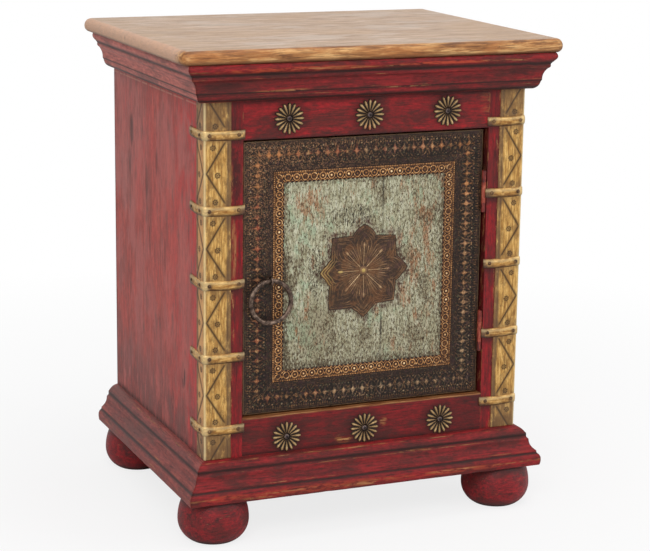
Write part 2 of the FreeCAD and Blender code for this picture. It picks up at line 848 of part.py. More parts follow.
plank_tools = ledge_nails + [staple, medallion_nail] + hinge_door_screws
save("door_plank_left", cut_all(make_plank(door_left, seam_left, True, False), plank_tools))
save("door_plank_middle", cut_all(make_plank(seam_left, seam_right, True, True), plank_tools))
save("door_plank_right", cut_all(make_plank(seam_right, door_right, False, True), plank_tools))
border_strips = frame_strips(0, border_width, border_thickness)
band_strips = frame_strips(border_width, band_width, band_thickness)
save("border_sheet", [strip.cut(staple) for strip in border_strips])
save("filigree_band", [strip.cut(staple) for strip in band_strips])
save("medallion", make_medallion().cut(medallion_nail))
save("medallion_nail", medallion_nail)
save("pull_staple", staple)

# Ring that hangs in the staple's eye
ring_middle = vec(ring_x, pivot_y, pivot_z - ring_mean_radius)
save("ring_pull", Part.makeTorus(ring_mean_radius, ring_wire / 2, ring_middle, backward))
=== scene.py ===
import functools
import math

import bpy
import numpy as np
from mathutils import Matrix, Vector


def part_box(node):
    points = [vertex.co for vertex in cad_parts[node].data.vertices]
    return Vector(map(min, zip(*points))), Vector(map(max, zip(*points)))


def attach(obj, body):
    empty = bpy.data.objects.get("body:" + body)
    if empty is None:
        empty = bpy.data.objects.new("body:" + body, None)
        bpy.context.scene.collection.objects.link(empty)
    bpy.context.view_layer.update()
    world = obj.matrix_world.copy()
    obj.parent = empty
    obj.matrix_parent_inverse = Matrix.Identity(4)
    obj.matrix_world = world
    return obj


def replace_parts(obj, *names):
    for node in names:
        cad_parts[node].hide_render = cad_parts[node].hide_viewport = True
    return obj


# A painted bedside cabinet with brass bindings, dressed for its photograph.
# The frame is the CAD model's: X to the viewer's right, Y to the back, Z up. Lengths are millimetres,
# and MM turns them into Blender's metres where nodes and meshes are made.

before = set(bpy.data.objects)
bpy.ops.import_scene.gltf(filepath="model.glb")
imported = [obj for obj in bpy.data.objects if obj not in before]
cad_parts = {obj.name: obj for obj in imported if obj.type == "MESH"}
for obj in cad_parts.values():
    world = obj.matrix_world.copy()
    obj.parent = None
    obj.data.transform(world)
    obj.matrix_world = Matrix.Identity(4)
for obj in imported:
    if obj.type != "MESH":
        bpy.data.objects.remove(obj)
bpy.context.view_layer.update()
MM = 0.001
FULL_TURN = 2 * math.pi


def box(node):
    """The lowest and the highest corner of a CAD node."""
    low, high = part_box(node)
    return low / MM, high / MM


# Places read from the frame
door_low, door_high = box("border_sheet")
band_low, band_high = box("filigree_band")
medal_low, medal_high = box("medallion")
ring_low, ring_high = box("ring_pull")
angle_low, angle_high = box("corner_angle_right")
strap_low, strap_high = box("straps_right")
cornice_low, cornice_high = box("cornice_front")
plinth_low, plinth_high = box("plinth_front")
top_low, top_high = box("top_board")
rosette_low, rosette_high = box("rosettes_top")
stile_low = box("front_stile_right")[0]
side_high = box("side_panel_right")[1]

post_x = side_high.x
front_y = stile_low.y
back_y = side_high.y
opening_x = stile_low.x
opening_bottom = box("bottom_rail")[1].z
plank_y = door_high.y
strap_count = 5
strap_half = 5.75
strap_pitch = (strap_high.z - strap_low.z - 2 * strap_half) / (strap_count - 1)
strap_heights = [strap_low.z + strap_half + step * strap_pitch for step in range(strap_count)]
rosette_radius = (rosette_high.z - rosette_low.z) / 2
rosette_places = [step * (rosette_high.x - rosette_radius) for step in (-1, 0, 1)]
rosette_heights = {label: sum(corner.z for corner in box("rosettes_" + label)) / 2 for label in ("top", "bottom")}
door_middle = Vector(((door_low.x + door_high.x) / 2, plank_y, (door_low.z + door_high.z) / 2))
medal_middle = Vector(((medal_low.x + medal_high.x) / 2, plank_y, (medal_low.z + medal_high.z) / 2))
medal_radius = (medal_high.x - medal_low.x) / 2
seam_x = 23


# Node materials


def rgb(red, green, blue):
    """A screen colour from 0 to 255, as the linear light that sockets take."""
    return tuple(((value / 255 + 0.055) / 1.055) ** 2.4 for value in (red, green, blue)) + (1.0,)


class Nodes:
    """The node tree of a material or a world, with short ways to add to it."""

    def __init__(self, owner):
        owner.use_nodes = True
        self.tree = owner.node_tree
        self.tree.nodes.clear()

    def feed(self, socket, value):
        value = value.socket if isinstance(value, Value) else value
        if isinstance(value, bpy.types.NodeSocket):
            self.tree.links.new(value, socket)
        else:
            socket.default_value = value

    def add(self, kind, *values, **fields):
        """A node with its fields set and values fed to its first inputs."""
        node = self.tree.nodes.new("ShaderNode" + kind)
        for field, value in fields.items():
            setattr(node, field, value)
        for socket, value in zip(node.inputs, values):
            self.feed(socket, value)
        return node

    def calc(self, kind, *values):
        return Value(self, self.add("Math", *values, operation=kind).outputs[0])


class Value:
    """A value in a node tree. Its signs make math nodes, and | takes the greater of two."""

    def __init__(self, nodes, socket):
        self.nodes, self.socket = nodes, socket

    def __call__(self, start, end):
        """0 at start and 1 at end, smooth between, either way round."""
        ends = (0, 1) if start < end else (1, 0)
        limits = (min(start, end), max(start, end), *ends)
        node = self.nodes.add("MapRange", self, *limits, interpolation_type="SMOOTHSTEP")
        return Value(self.nodes, node.outputs[0])

    def near(self, place, reach):
        """1 at a place, 0 from reach away."""
        return self.nodes.calc("ABSOLUTE", self - place)(reach, 0)

    def __add__(self, other):
        return self.nodes.calc("ADD", self, other)

    def __sub__(self, other):
        return self.nodes.calc("SUBTRACT", self, other)

    def __mul__(self, other):
        return self.nodes.calc("MULTIPLY", self, other)

    def __truediv__(self, other):
        return self.nodes.calc("DIVIDE", self, other)

    def __or__(self, other):
        return self.nodes.calc("MAXIMUM", self, other)


def greatest(values):
    return functools.reduce(Value.__or__, values)


class Finish(Nodes):
    """A material whose colour is laid on in coats."""

    def __init__(self, name):
        self.material = bpy.data.materials.new(name)
        super().__init__(self.material)
        self.shader = self.add("BsdfPrincipled")
        self.add("OutputMaterial", self.shader.outputs[0])
        self.at = self.add("TexCoord").outputs["Object"]
        self.x, self.y, self.z = [self.calc("DIVIDE", part, MM) for part in self.add("SeparateXYZ", self.at).outputs]
        self.out = self.calc("ABSOLUTE", self.x)

    def noise(self, axis, stretch, size, detail, rough, shift, twist=0.0):
        """Noise from 0 to 1, its features about size across and stretched into streaks along axis."""
        scale = [1.0, 1.0, 1.0]
        scale["XYZ".index(axis)] = 1 / stretch
        where = self.add("Mapping", self.at)
        where.inputs["Scale"].default_value = scale
        node = self.add("TexNoise", where.outputs[0], noise_dimensions="4D")
        values = {"W": shift, "Scale": 1 / (size * MM), "Detail": detail, "Roughness": rough, "Distortion": twist}
        for name, value in values.items():
            node.inputs[name].default_value = value
        return Value(self, node.outputs["Fac"])

    def noises(self, axis, *rows):
        return [self.noise(axis, *row) for row in rows]

    def spots(self, *rows, across=None):
        """Soft ellipses, each from its middle, height, half width, half height and share."""
        made = []
        for middle, height, half_width, half_height, *share in rows:
            a = ((across or self.x) - middle) / half_width
            b = (self.z - height) / half_height
            made.append((a * a + b * b)(1, 0.15) * (share[0] if share else 1))
        return greatest(made)

    def mask(self, name):
        """A value that the mesh carries at its points."""
        return Value(self, self.add("Attribute", attribute_name=name).outputs["Fac"])

    def ramp(self, value, places, *tones):
        node = self.add("ValToRGB", value)
        elements = node.color_ramp.elements
        while len(elements) < len(tones):
            elements.new(0.5)
        for element, place, tone in zip(elements, places, tones):
            element.position = place
            element.color = rgb(*tone)
        return node.outputs[0]

    def coat(self, tone, share):
        """Lays a tone or another colour over the colour so far."""
        node = self.add("Mix", share, data_type="RGBA", clamp_factor=True)
        self.feed(node.inputs[6], self.colour)
        self.feed(node.inputs[7], rgb(*tone) if isinstance(tone, tuple) else tone)
        self.colour = node.outputs[2]

    def done(self, roughness, height, depth, gloss=0.5, metal=0.0):
        bump = self.add("Bump")
        bump.inputs["Distance"].default_value = depth * MM
        self.feed(bump.inputs["Height"], height)
        values = {"Base Color": self.colour, "Roughness": roughness, "Normal": bump.outputs[0],
                  "Specular IOR Level": gloss, "Metallic": metal}
        for name, value in values.items():
            self.feed(self.shader.inputs[name], value)
        return self.material


THIRDS = (0.38, 0.50, 0.62)
WIDE_THIRDS = (0.36, 0.50, 0.64)

# Old crimson paint: dark glaze, streaks along the grain and wood where it has worn off.
# Tones are from 0 to 255. Those of a paint are its dark, middle and bright streaks.
# The darkest tone, for fine dark streaks, grime and painted shade.
SOOT_AND_SHADE = (32, 18, 15)
ORANGE_RED = (196, 78, 48)
GLAZE = (66, 32, 27)
# The sides' glaze is paler: dust and painted sheen.
DUST_AND_SHEEN_GLAZE = (108, 66, 60)
WOOD_UNDER_PAINT = ((92, 52, 30), (152, 94, 52), (196, 144, 94))
TOP_RAIL_TONES = ((98, 28, 29), (144, 28, 32), (182, 33, 39))
# The lower rail's tones are the top rail's paint darkened: painted shade.
LOW_RAIL_TONES = ((80, 22, 22), (110, 24, 26), (138, 26, 30))
STILE_TONES = ((92, 24, 25), (124, 25, 29), (158, 27, 33))
FRONT_TONES = ((80, 24, 22), (122, 28, 30), (156, 36, 38))
# The sides' tones are the paint paled and pinked by painted sheen and dust; the low ones, for the plinth's sides, are
# darker: painted shade.
SIDE_TONES = ((150, 76, 67), (188, 103, 92), (216, 126, 113))
LOW_SIDE_TONES = ((92, 38, 36), (130, 58, 52), (158, 78, 70))
FOOT_TONES = ((76, 18, 20), (122, 23, 28), (160, 30, 34))


def old_paint(name, axis, shift, tones, soil_and_shade, wear, warm=None, glaze=GLAZE, cloudy=0.7, gloss=0.25):
    """soil_and_shade, wear and warm take the finish and a noise, and mask places of grime and painted shade, worn
    places (on the mouldings also painted highlight) and orange places.
    """
    f = Finish(name)
    streaks, mottle, hairs, clouds, chips = f.noises(
        axis, (12, 2.6, 6, 0.70, shift), (2.4, 3.2, 6, 0.76, shift + 9), (26, 1.1, 3, 0.6, shift + 3),
        (2.6, 26, 6, 0.64, shift + 5), (4, 5, 7, 0.74, shift + 7))
    f.colour = f.ramp(streaks * 0.5 + mottle * 0.5, (0.40, 0.495, 0.59), *tones)
    f.coat(glaze, clouds(0.47, 0.60) * cloudy)
    f.coat(tones[-1], clouds(0.46, 0.36) * 0.4)
    f.coat(SOOT_AND_SHADE, hairs(0.54, 0.66) * 0.5)
    if warm:
        f.coat(ORANGE_RED, warm(f, chips))
    # A dark coat of grime and painted shade at the joins, in the hollows and under things.
    f.coat(SOOT_AND_SHADE, soil_and_shade(f, streaks))
    bare = chips(0.665, 0.70) * 0.7 | wear(f, chips)
    f.coat(f.ramp(hairs, THIRDS, *WOOD_UNDER_PAINT), bare)
    return f.done(streaks * 0.22 + 0.38, streaks * 0.8 - bare * 0.6 - hairs(0.5, 0.7) * 0.5, 0.35, gloss)


def rail_grime_and_shade(f, streaks):
    """Grime and painted shade at the edges and corners where parts meet, dull places, and what polish has left round
    the rosettes.
    """
    # Painted shade with grime: under the cornice, above the plinth, along the door's top and foot, and towards the
    # posts.
    edges = (f.z.near(cornice_low.z, 9) | f.z.near(plinth_high.z, 8) | f.z.near(opening_bottom, 3)
             | f.z.near(door_high.z + 3, 4) | f.out(opening_x - 12, opening_x + 6) * 0.6)
    dull = f.spots((-140, 512, 44, 40, 0.36), (90, 516, 90, 40, 0.34), (146, 128, 44, 40, 0.46))
    halos = []
    for x in rosette_places:
        for height in rosette_heights.values():
            across, up = f.x - x, f.z - height
            halos.append(f.calc("SQRT", across * across + up * up)(33, 17))
    return (greatest(halos) * streaks(0.36, 0.56) * 0.72 | edges * streaks(0.3, 0.5) * 0.8
            | dull * streaks(0.34, 0.58))


def rail_wear(f, chips):
    """The lower rail's top edge has lost its paint, and a few spots beside the rosettes too."""
    edge = f.z(opening_bottom - 2.6, opening_bottom - 0.6) * f.z(300, 200) * 0.8
    spots = f.spots((-27, 111, 14, 7), (26, 128, 6, 8, 0.6)) | f.x.near(168, 26) * f.z(500, 510) * 0.5
    return edge | spots * chips(0.46, 0.54)


def stile_grime_and_shade(f, streaks):
    # Grime and painted shade: on the inner face, under the straps, at the top below the cornice and beside the brass,
    # with one smudge.
    inner_face = f.out(opening_x + 0.5, opening_x + 0.1) * 0.75
    under_straps = greatest(f.z.near(height - 8, 9) for height in strap_heights) * 0.8
    top = f.z(strap_heights[-1] - 20, strap_heights[-1] + 5) * 0.5
    upper = f.spots((-169, 452, 10, 60)) * f.noise("Z", 1.5, 7, 5, 0.7, 66)(0.42, 0.54) * 0.8
    return (f.out.near(177, 4) | inner_face | under_straps | top | upper) * streaks(0.3, 0.52) * 0.8


def stile_wear(f, chips):
    """Ragged lines beside the brass, and one long patch where the paint has gone."""
    reach = (f.noise("Z", 3, 22, 4, 0.6, 2) - 0.5) * 16
    ragged = (f.out - 172.5 + reach)(0, 1.2) * chips(0.49, 0.57)
    patch = f.spots((-172.5, 358, 6, 44)) * chips(0.40, 0.50)
    return (ragged | patch | f.out.near(opening_x, 1.2) * chips(0.52, 0.58)) * 0.66


# Smudges, gouges and scratches on the outer side: depth, height, half width, half height and darkness
side_marks = [
    (111, 461, 9, 26, 0.8), (119, 420, 8, 22, 0.5), (50, 403, 7, 34, 0.5), (9, 435, 6, 22, 0.55),
    (-96, 186, 3, 15, 1.0), (-90, 178, 4, 9, 0.7), (-51, 146, 8, 17, 0.6), (-22, 324, 5, 30, 0.45),
    (38, 331, 5, 26, 0.4), (-113, 371, 2, 18, 0.7),
]
side_joints = [131, 65, -5]


def side_finish():
    """The outer side boards: scuffed paint paled to a rosy tone by painted sheen and dust, with joints between the
    boards, grey smudges, and grime and painted shade along the edges.
    """
    f = Finish("side_paint")
    streaks, hairs, clouds, smudge, gouge, mottle, shade, wander = f.noises(
        "Z", (8, 5.5, 6, 0.66, 1), (16, 1.5, 4, 0.66, 4), (2.0, 46, 6, 0.6, 9), (3.6, 12, 6, 0.68, 12),
        (5, 4.5, 6, 0.75, 21), (2.2, 4.5, 6, 0.76, 16), (2.8, 27, 6, 0.66, 27), (6, 30, 4, 0.6, 3))
    body = streaks * 0.5 + mottle * 0.5
    f.colour = f.ramp(body, (0.40, 0.50, 0.60), (138, 54, 48), (170, 70, 61), (192, 86, 75))
    # Painted sheen and dust: a paler rosy wash over the upper and rear parts and a pale patch at the back top; the
    # paint stays redder near the front and beside the brass.
    rosy = f.z(400, 520) | f.y(0, 120)
    f.coat((172, 94, 88), clouds(0.46, 0.56) * (rosy * 0.35 + 0.45))
    f.coat((172, 110, 104), f.spots((125, 460, 110, 130), across=f.y) * 0.42)
    f.coat((124, 60, 52), shade(0.52, 0.62) * 0.5)
    f.coat((198, 98, 88), shade(0.46, 0.36) * 0.35)
    red = (f.y(0, front_y + 30) * clouds(0.60, 0.48) | clouds(0.44, 0.34) * 0.36
           | f.y(angle_high.y + 34, angle_high.y + 6) * 0.9)
    f.coat((188, 42, 42), red * body(0.42, 0.52) * 0.8)
    f.coat((100, 50, 45), f.z(250, 118) * smudge(0.38, 0.56) * 0.75)
    f.coat((104, 66, 60), smudge(0.56, 0.66) * 0.6)
    f.coat((86, 44, 42), hairs(0.54, 0.64) * 0.42)
    f.coat((204, 130, 118), hairs(0.45, 0.35) * 0.3)
    course = f.y + (wander - 0.5) * 2
    joints = greatest(course.near(place, 1.6) for place in side_joints) * streaks(0.40, 0.55)
    marks = f.spots(*side_marks, across=f.y) * hairs(0.30, 0.48)
    # Grime and painted shade along the back edge, above the plinth, under the cornice and beside the brass.
    edges = (f.y.near(back_y, 7) | f.z.near(plinth_high.z, 9) | f.z.near(cornice_low.z, 3)
             | f.y.near(angle_high.y, 6) * 0.7)
    dents = gouge(0.64, 0.69)
    f.coat((50, 28, 25), (dents * 0.7 | joints * 0.65 | edges * streaks(0.3, 0.6) | marks) * 0.9)
    f.coat((200, 142, 122), f.z.near(cornice_low.z - 6, 1.8) * smudge(0.42, 0.5) * 0.6 | gouge(0.36, 0.31) * 0.5)
    height = streaks * 0.7 - (dents | marks) * 1.2 - joints - hairs(0.5, 0.7) * 0.4
    return f.done(streaks * 0.2 + 0.44, height, 0.4, 0.32)


# Places on the front mouldings, as x, height, half width and half height: rubbed to the wood,
# dark with grime, and rubbed through to an orange ground
front_worn = [
    (-60, 572, 60, 2.4), (165, 573, 52, 2.2), (-120, 546, 40, 1.1), (50, 545, 50, 1.1), (-10, 60, 48, 3.4),
    (110, 62, 50, 2.2), (66, 89, 30, 1.8), (-150, 58, 34, 2.0),
]
front_grimy = [
    (-192, 556, 34, 9), (-120, 538, 90, 5), (-70, 563, 110, 3), (-180, 566, 40, 6), (120, 552, 40, 5),
    (190, 560, 22, 10), (-196, 92, 24, 10), (160, 84, 40, 7), (-70, 78, 60, 5), (60, 96, 40, 3),
]
front_orange = [(-105, 571.5, 130, 4.2), (90, 573, 90, 2.4), (-60, 61, 150, 6), (120, 61, 90, 4), (-190, 62, 30, 5)]


def moulding_finish(name, axis, shift, tones, glaze):
    """Painted moulding: soot and painted shade lie in the hollows and along the dark lines, and wood shows on the edges
    and along the light lines, which also stand for painted highlight.
    """
    front = axis == "X"

    def soil_and_shade(f, streaks):
        # Soot and painted shade in the hollows and along the dark lines.
        lines = (f.mask("hollow") * 0.55 | f.mask("dark")) * streaks(0.24, 0.44) * 0.94
        return lines | f.spots(*front_grimy) * streaks(0.38, 0.56) * 0.66 if front else lines

    def warm(f, chips):
        return f.spots(*front_orange) * chips(0.42, 0.54) * (f.z(300, 400) * 0.3 + 0.42)

    def wear(f, chips):
        # Wood rubbed bare on the edges and the light lines; along the light lines it is partly painted highlight.
        edge, light = f.mask("edge"), f.mask("light")
        spread = (f.noise(axis, 5, 24, 4, 0.6, shift + 1) - 0.5) * 0.7
        amount = (edge * 0.14 | light * 0.24) + spread + (chips - 0.5) * 0.8
        rubbed = amount(0.21, 0.34) * (light | edge)
        if front:
            rubbed = rubbed | f.spots(*front_worn) * chips(0.46, 0.55)
        return rubbed * 0.66

    return old_paint(name, axis, shift, tones, soil_and_shade, wear, warm if front else None, glaze, cloudy=0.62)


def board_finish():
    """Top board: bleached, waxed planks above and a warmer, rubbed edge, with a painted sheen on the edge's left end
    near the front and a painted shadow line along the edge's bottom.
    """
    f = Finish("top_wood")
    figure, pores, clouds, spots = f.noises(
        "X", (8, 6, 6, 0.66, 2, 0.6), (22, 1.1, 4, 0.66, 6), (1.8, 52, 6, 0.62, 8), (1, 9, 6, 0.7, 11))
    f.colour = f.ramp(figure, THIRDS, (112, 70, 38), (174, 120, 70), (218, 170, 112))
    f.coat((176, 108, 56), clouds(0.46, 0.58) * 0.45)
    f.coat((92, 58, 34), pores(0.50, 0.58) * 0.4)
    # Painted sheen: the edge is paler at its left end near the front.
    f.coat((214, 174, 148), f.x(top_low.x + 40, top_low.x + 8) * f.y(top_low.y + 4, top_low.y + 30) * 0.75)
    edge = f.colour
    f.colour = f.ramp(figure, THIRDS, (156, 127, 101), (182, 154, 130), (206, 180, 158))
    f.coat((182, 148, 114), clouds(0.48, 0.60) * 0.45)
    f.coat((200, 186, 174), clouds(0.46, 0.38) * 0.4)
    rubbed = f.x.near(top_low.x + 60, 100) * f.y.near(top_low.y, 30) * 0.5
    rim = (f.out(top_high.x - 16, top_high.x - 2) | f.y(top_low.y + 12, top_low.y + 3)
           | f.z(top_high.z - 1, top_high.z - 6) | rubbed)
    rim = (rim + (spots - 0.5))(0.3, 0.8)
    f.coat(edge, rim)
    f.coat((104, 68, 44), pores(0.52, 0.64) * 0.4)
    # Painted shadow along the bottom of the edge, and dark spots on the rim.
    painted_shade_below = f.z(top_low.z + 6, top_low.z + 1) * figure(0.3, 0.5) * 0.75
    f.coat((70, 42, 28), painted_shade_below | spots(0.62, 0.70) * rim * 0.6)
    return f.done(figure * 0.25 + 0.38, figure - pores(0.50, 0.68) * 0.5, 0.3, 0.3)


def panel_finish(name, on_planks):
    """Celadon paint worn to the ground along the grain, with rust-coloured patches."""
    f = Finish(name)
    streaks, flecks, dashes, clouds, rust, mint, rusty, specks = f.noises(
        "Z", (5, 2.4, 6, 0.74, 3), (2.0, 2.0, 6, 0.8, 5), (3.4, 1.5, 4, 0.76, 45), (1.8, 26, 6, 0.66, 31),
        (3.4, 10, 7, 0.74, 14), (1.6, 17, 6, 0.7, 57), (6, 2.0, 5, 0.72, 63), (1.6, 1.1, 4, 0.8, 77))
    f.colour = f.ramp(
        streaks, (0.36, 0.46, 0.54, 0.64), (128, 120, 92), (164, 160, 130), (188, 186, 158), (212, 210, 186))
    green = mint + f.spots((-82, 370, 30, 40), (-82, 245, 34, 48), (16, 252, 16, 26)) * 0.085
    f.coat((156, 182, 150), green(0.56, 0.63) * 0.5)
    f.coat((118, 96, 66), f.spots((-66, 252, 26, 50)) * streaks(0.40, 0.56) * 0.5)
    f.coat((164, 120, 86), rusty(0.60, 0.66) * 0.36)
    olive = clouds(0.50, 0.60) | f.z(medal_middle.z - 20, medal_middle.z - 95) * 0.5 | f.x(10, 90) * 0.4
    f.coat((142, 130, 102), olive * 0.55)
    rusted = f.spots((70, 360, 20, 84), (-74, 400, 30, 30, 0.85), (-78, 300, 9, 60, 0.7), (-66, 334, 10, 12))
    worn_through = (rust + (rusted | f.x(0, 90) * 0.45) * 0.10)(0.56, 0.64) * dashes(0.38, 0.52)
    f.coat((160, 104, 66), worn_through * 0.8)
    near_edge = (f.x.near(band_low.x + 15, 9) | f.x.near(band_high.x - 15, 9) | f.z.near(band_low.z + 15, 12)
                 | f.z.near(band_high.z - 15, 6) * 0.6)
    over = f.spots((-16, 388, 40, 17), (-64, 322, 13, 40))
    lean = near_edge * 0.055 + olive * 0.05 | over * 0.03
    wide = flecks + lean
    gaps = wide(0.54, 0.58)
    f.coat((98, 76, 51), gaps * 0.8)
    pierced = dashes + (lean * 0.6 | over * 0.07)
    deep = wide(0.63, 0.66) | pierced(0.60, 0.63) | (specks + lean * 0.6)(0.64, 0.67)
    f.coat((38, 30, 22), deep * 0.9)
    f.coat((222, 220, 200), flecks(0.38, 0.34) * 0.66)
    if on_planks:
        raw = f.ramp(streaks, THIRDS, (96, 62, 42), (122, 82, 54), (140, 98, 66))
        f.coat(raw, f.y(plank_y + 0.5, plank_y + 1.5))
    else:
        f.coat((34, 26, 18), f.mask("seam") * dashes(0.24, 0.38) * 0.96)
        f.coat((72, 34, 28), f.mask("fringe") * flecks(0.38, 0.50) * 0.9)
    return f.done(streaks * 0.2 + 0.5, streaks * 0.6 - gaps * 0.9 - deep, 0.35, 0.3)


def bare_wood():
    f = Finish("bare_wood")
    figure, pores = f.noises("Z", (6, 8, 6, 0.6, 3, 0.8), (24, 1.2, 3, 0.6, 6))
    f.colour = f.ramp(figure, WIDE_THIRDS, (82, 54, 38), (108, 72, 48), (136, 96, 64))
    f.coat((50, 32, 24), pores(0.54, 0.66) * 0.4)
    return f.done(figure * 0.2 + 0.55, figure - pores * 0.5, 0.4, 0.3)


def back_finish():
    """The back: upright boards of different browns with dark joints, open-pored and dusty at the foot."""
    f = Finish("back_wood")
    board_width = 68
    place = f.x / board_width
    tone = f.calc("FRACT", f.calc("SINE", f.calc("FLOOR", place) * 12.9) * 43.7)
    figure, pores, stains = f.noises("Z", (9, 5, 6, 0.64, 3, 0.5), (22, 1.1, 4, 0.66, 6), (1.6, 70, 6, 0.62, 12))
    f.colour = f.ramp(figure + (tone - 0.5) * 0.22, (0.34, 0.50, 0.66), (74, 48, 33), (112, 76, 50), (148, 106, 72))
    f.coat((70, 48, 36), stains(0.50, 0.60) * 0.5)
    f.coat((48, 31, 22), pores(0.52, 0.62) * 0.45)
    f.coat((126, 104, 84), f.z(190, 100) * 0.35)
    joint = f.calc("FRACT", place + 0.5).near(0.5, 0.016)
    f.coat((28, 18, 13), joint * 0.85)
    return f.done(figure * 0.2 + 0.55, figure - pores * 0.5 - joint * 2, 0.5, 0.3)


def foot_finish():
    """Turned feet: paint rubbed through on the swell, with dark smudges, and grime and painted shade under the plinth
    and at the floor.
    """
    def soil_and_shade(f, streaks):
        patch = f.noise("Z", 1, 15, 5, 0.66, 44)
        # Grime and painted shade under the plinth and at the floor, and dark patches.
        return (f.z.near(plinth_low.z, 14) | f.z(10, 1)) * 0.8 | patch(0.54, 0.62) * 0.5

    def wear(f, chips):
        return chips(0.60, 0.66) * f.z.near(32, 22) * 0.6

    return old_paint("foot_paint", "X", 40, FOOT_TONES, soil_and_shade, wear, cloudy=0.5, gloss=0.32)


def brass_finish():
    """Corner brass: golden, streaked upright, with dark engraving and grime at the straps and inner edge, a painted
    sheen on the side leaf and a painted highlight down the corner.
    """
    f = Finish("corner_brass")
    streaks, blotch, spots = f.noises("Z", (8, 2.2, 6, 0.68, 4), (1.7, 9, 6, 0.68, 9), (1, 2.2, 5, 0.7, 15))
    f.colour = f.ramp(streaks, THIRDS, (148, 104, 48), (196, 150, 80), (230, 188, 114))
    f.coat((128, 94, 50), blotch(0.49, 0.60) * 0.6)
    # Painted sheen: the side leaf is paler and redder.
    f.coat((218, 158, 104), f.y(front_y + 1, front_y + 4) * 0.6)
    f.coat((92, 68, 42), spots(0.58, 0.66) * 0.5)
    f.coat((104, 72, 40), f.mask("grime") * blotch(0.30, 0.50) * 0.9)
    f.coat((112, 80, 42), f.mask("halo") * streaks(0.36, 0.52) * 0.55)
    f.coat((60, 40, 22), f.mask("line") * 0.95)
    # Painted highlight down the post's corner.
    f.coat((244, 222, 170), f.mask("painted_highlight") * 0.6)
    return f.done(blotch * 0.3 + 0.38, streaks + blotch * 0.6, 0.25, metal=f.mask("grime") * -0.4 + 0.5)


def strap_finish():
    """Straps: pale rubbed brass that goes dark towards its inner end, with a painted highlight along the top edge and
    round the post's corner and painted shade along the lower edge.
    """
    f = Finish("strap_brass")
    streaks, blotch = f.noises("X", (6, 2.2, 6, 0.66, 4), (1, 7, 6, 0.68, 22))
    f.colour = f.ramp(streaks, THIRDS, (146, 98, 44), (190, 142, 74), (226, 184, 114))
    f.coat((122, 78, 38), blotch(0.49, 0.60) * 0.66)
    f.coat((74, 46, 34), f.mask("end") * blotch(0.30, 0.50) * 0.85)
    # Painted shade along the lower edge.
    f.coat((60, 36, 22), f.mask("painted_shade_below") * 0.85)
    f.coat((84, 56, 34), f.mask("stain") * blotch(0.26, 0.46) * 0.8)
    # Painted highlight along the top edge and round the post's corner.
    f.coat((240, 216, 160), f.mask("painted_highlight") * 0.5)
    return f.done(blotch * 0.3 + 0.34, streaks + blotch, 0.3, metal=f.mask("end") * -0.4 + 0.55)


def embossed(name, shift, speckle, rough, *tones):
    """Embossed sheet with the tones of its hollows, its body, what stands up and what is rubbed bright."""
    f = Finish(name)
    f.patina, f.grit = f.noises("X", (1, 8, 6, 0.68, shift), (1, 1.7, 5, 0.78, shift + 2))
    rise = f.mask("rise") + (f.grit - 0.5) * speckle - f.patina(0.38, 0.60) * 0.16
    f.colour = f.ramp(rise, (0.04, 0.34, 0.66, 0.95), *tones)
    f.skin = f.patina * 0.25 + rough, f.grit + f.patina * 0.5, 0.25
    return f


def border_finish():
    f = embossed(
        "border_copper", 3, 2.3, 0.34, (24, 15, 10), (94, 64, 41), (172, 128, 84), (236, 208, 160))
    warm, green, plum = f.noises("X", (1, 14, 4, 0.6, 71), (1, 2.6, 5, 0.76, 51), (1, 5.0, 5, 0.7, 81))
    f.coat((74, 48, 50), plum(0.53, 0.62) * 0.45)
    f.coat((106, 104, 76), green(0.55, 0.63) * 0.42)
    f.coat((190, 122, 70), f.mask("tint") * f.grit(0.34, 0.50) * 0.85)
    f.coat((160, 66, 46), f.mask("ruddy") * warm(0.44, 0.54) * 0.75)
    f.coat((196, 180, 150), f.mask("chalk") * f.grit(0.40, 0.54) * 0.8)
    f.coat((186, 136, 98), f.z(300, 410) * f.x(60, -110) * f.grit(0.50, 0.60) * 0.5)
    f.coat((178, 162, 132), f.mask("dot") * green(0.44, 0.56) * 0.5)
    f.coat((58, 40, 34), f.mask("plain") * f.patina(0.40, 0.56) * 0.35)
    f.coat((164, 132, 98), f.mask("lip") * f.patina(0.34, 0.50) * 0.75)
    return f.done(*f.skin, gloss=0.3, metal=0.25)


def band_finish():
    f = embossed(
        "gilt_band", 13, 1.7, 0.32, (34, 18, 10), (116, 72, 36), (206, 148, 84), (255, 236, 190))
    f.coat((84, 50, 26), f.x(90, 108) * 0.22)
    return f.done(*f.skin, metal=0.45)


def medallion_finish():
    f = embossed(
        "medallion_copper", 23, 0.7, 0.34, (52, 35, 23), (104, 74, 47), (146, 112, 78), (216, 186, 142))
    warm = f.noise("X", 1, 12, 5, 0.66, 61)
    f.coat((118, 74, 40), warm(0.50, 0.60) * 0.4)
    f.coat((96, 62, 56), warm(0.46, 0.38) * 0.3)
    f.coat((196, 168, 90), f.mask("gold") * 0.8)
    return f.done(*f.skin, metal=0.4)


def rosette_finish():
    f = embossed(
        "rosette_brass", 33, 0.5, 0.34, (34, 22, 18), (92, 68, 42), (152, 122, 80), (200, 170, 122))
    red = f.x.near(-2, 11) * f.z.near(rosette_heights["top"] - 17, 8) * f.mask("rise")
    f.coat((190, 92, 60), red * f.grit(0.40, 0.50) * 0.8)
    # Painted highlight: a grey ring round the nail head.
    f.coat((158, 140, 140), f.mask("rim") * f.grit(0.36, 0.50) * 0.8)
    return f.done(*f.skin, metal=0.45)


def iron_finish(name, shift, metal, *tones):
    f = Finish(name)
    scale, pits = f.noises("X", (1, 5, 6, 0.66, shift), (1, 1.0, 4, 0.7, shift + 4))
    f.colour = f.ramp(scale, WIDE_THIRDS, *tones)
    f.coat(tones[0], pits(0.56, 0.66) * 0.5)
    return f.done(scale * 0.3 + 0.3, scale + pits * 0.5, 0.3, metal=metal)


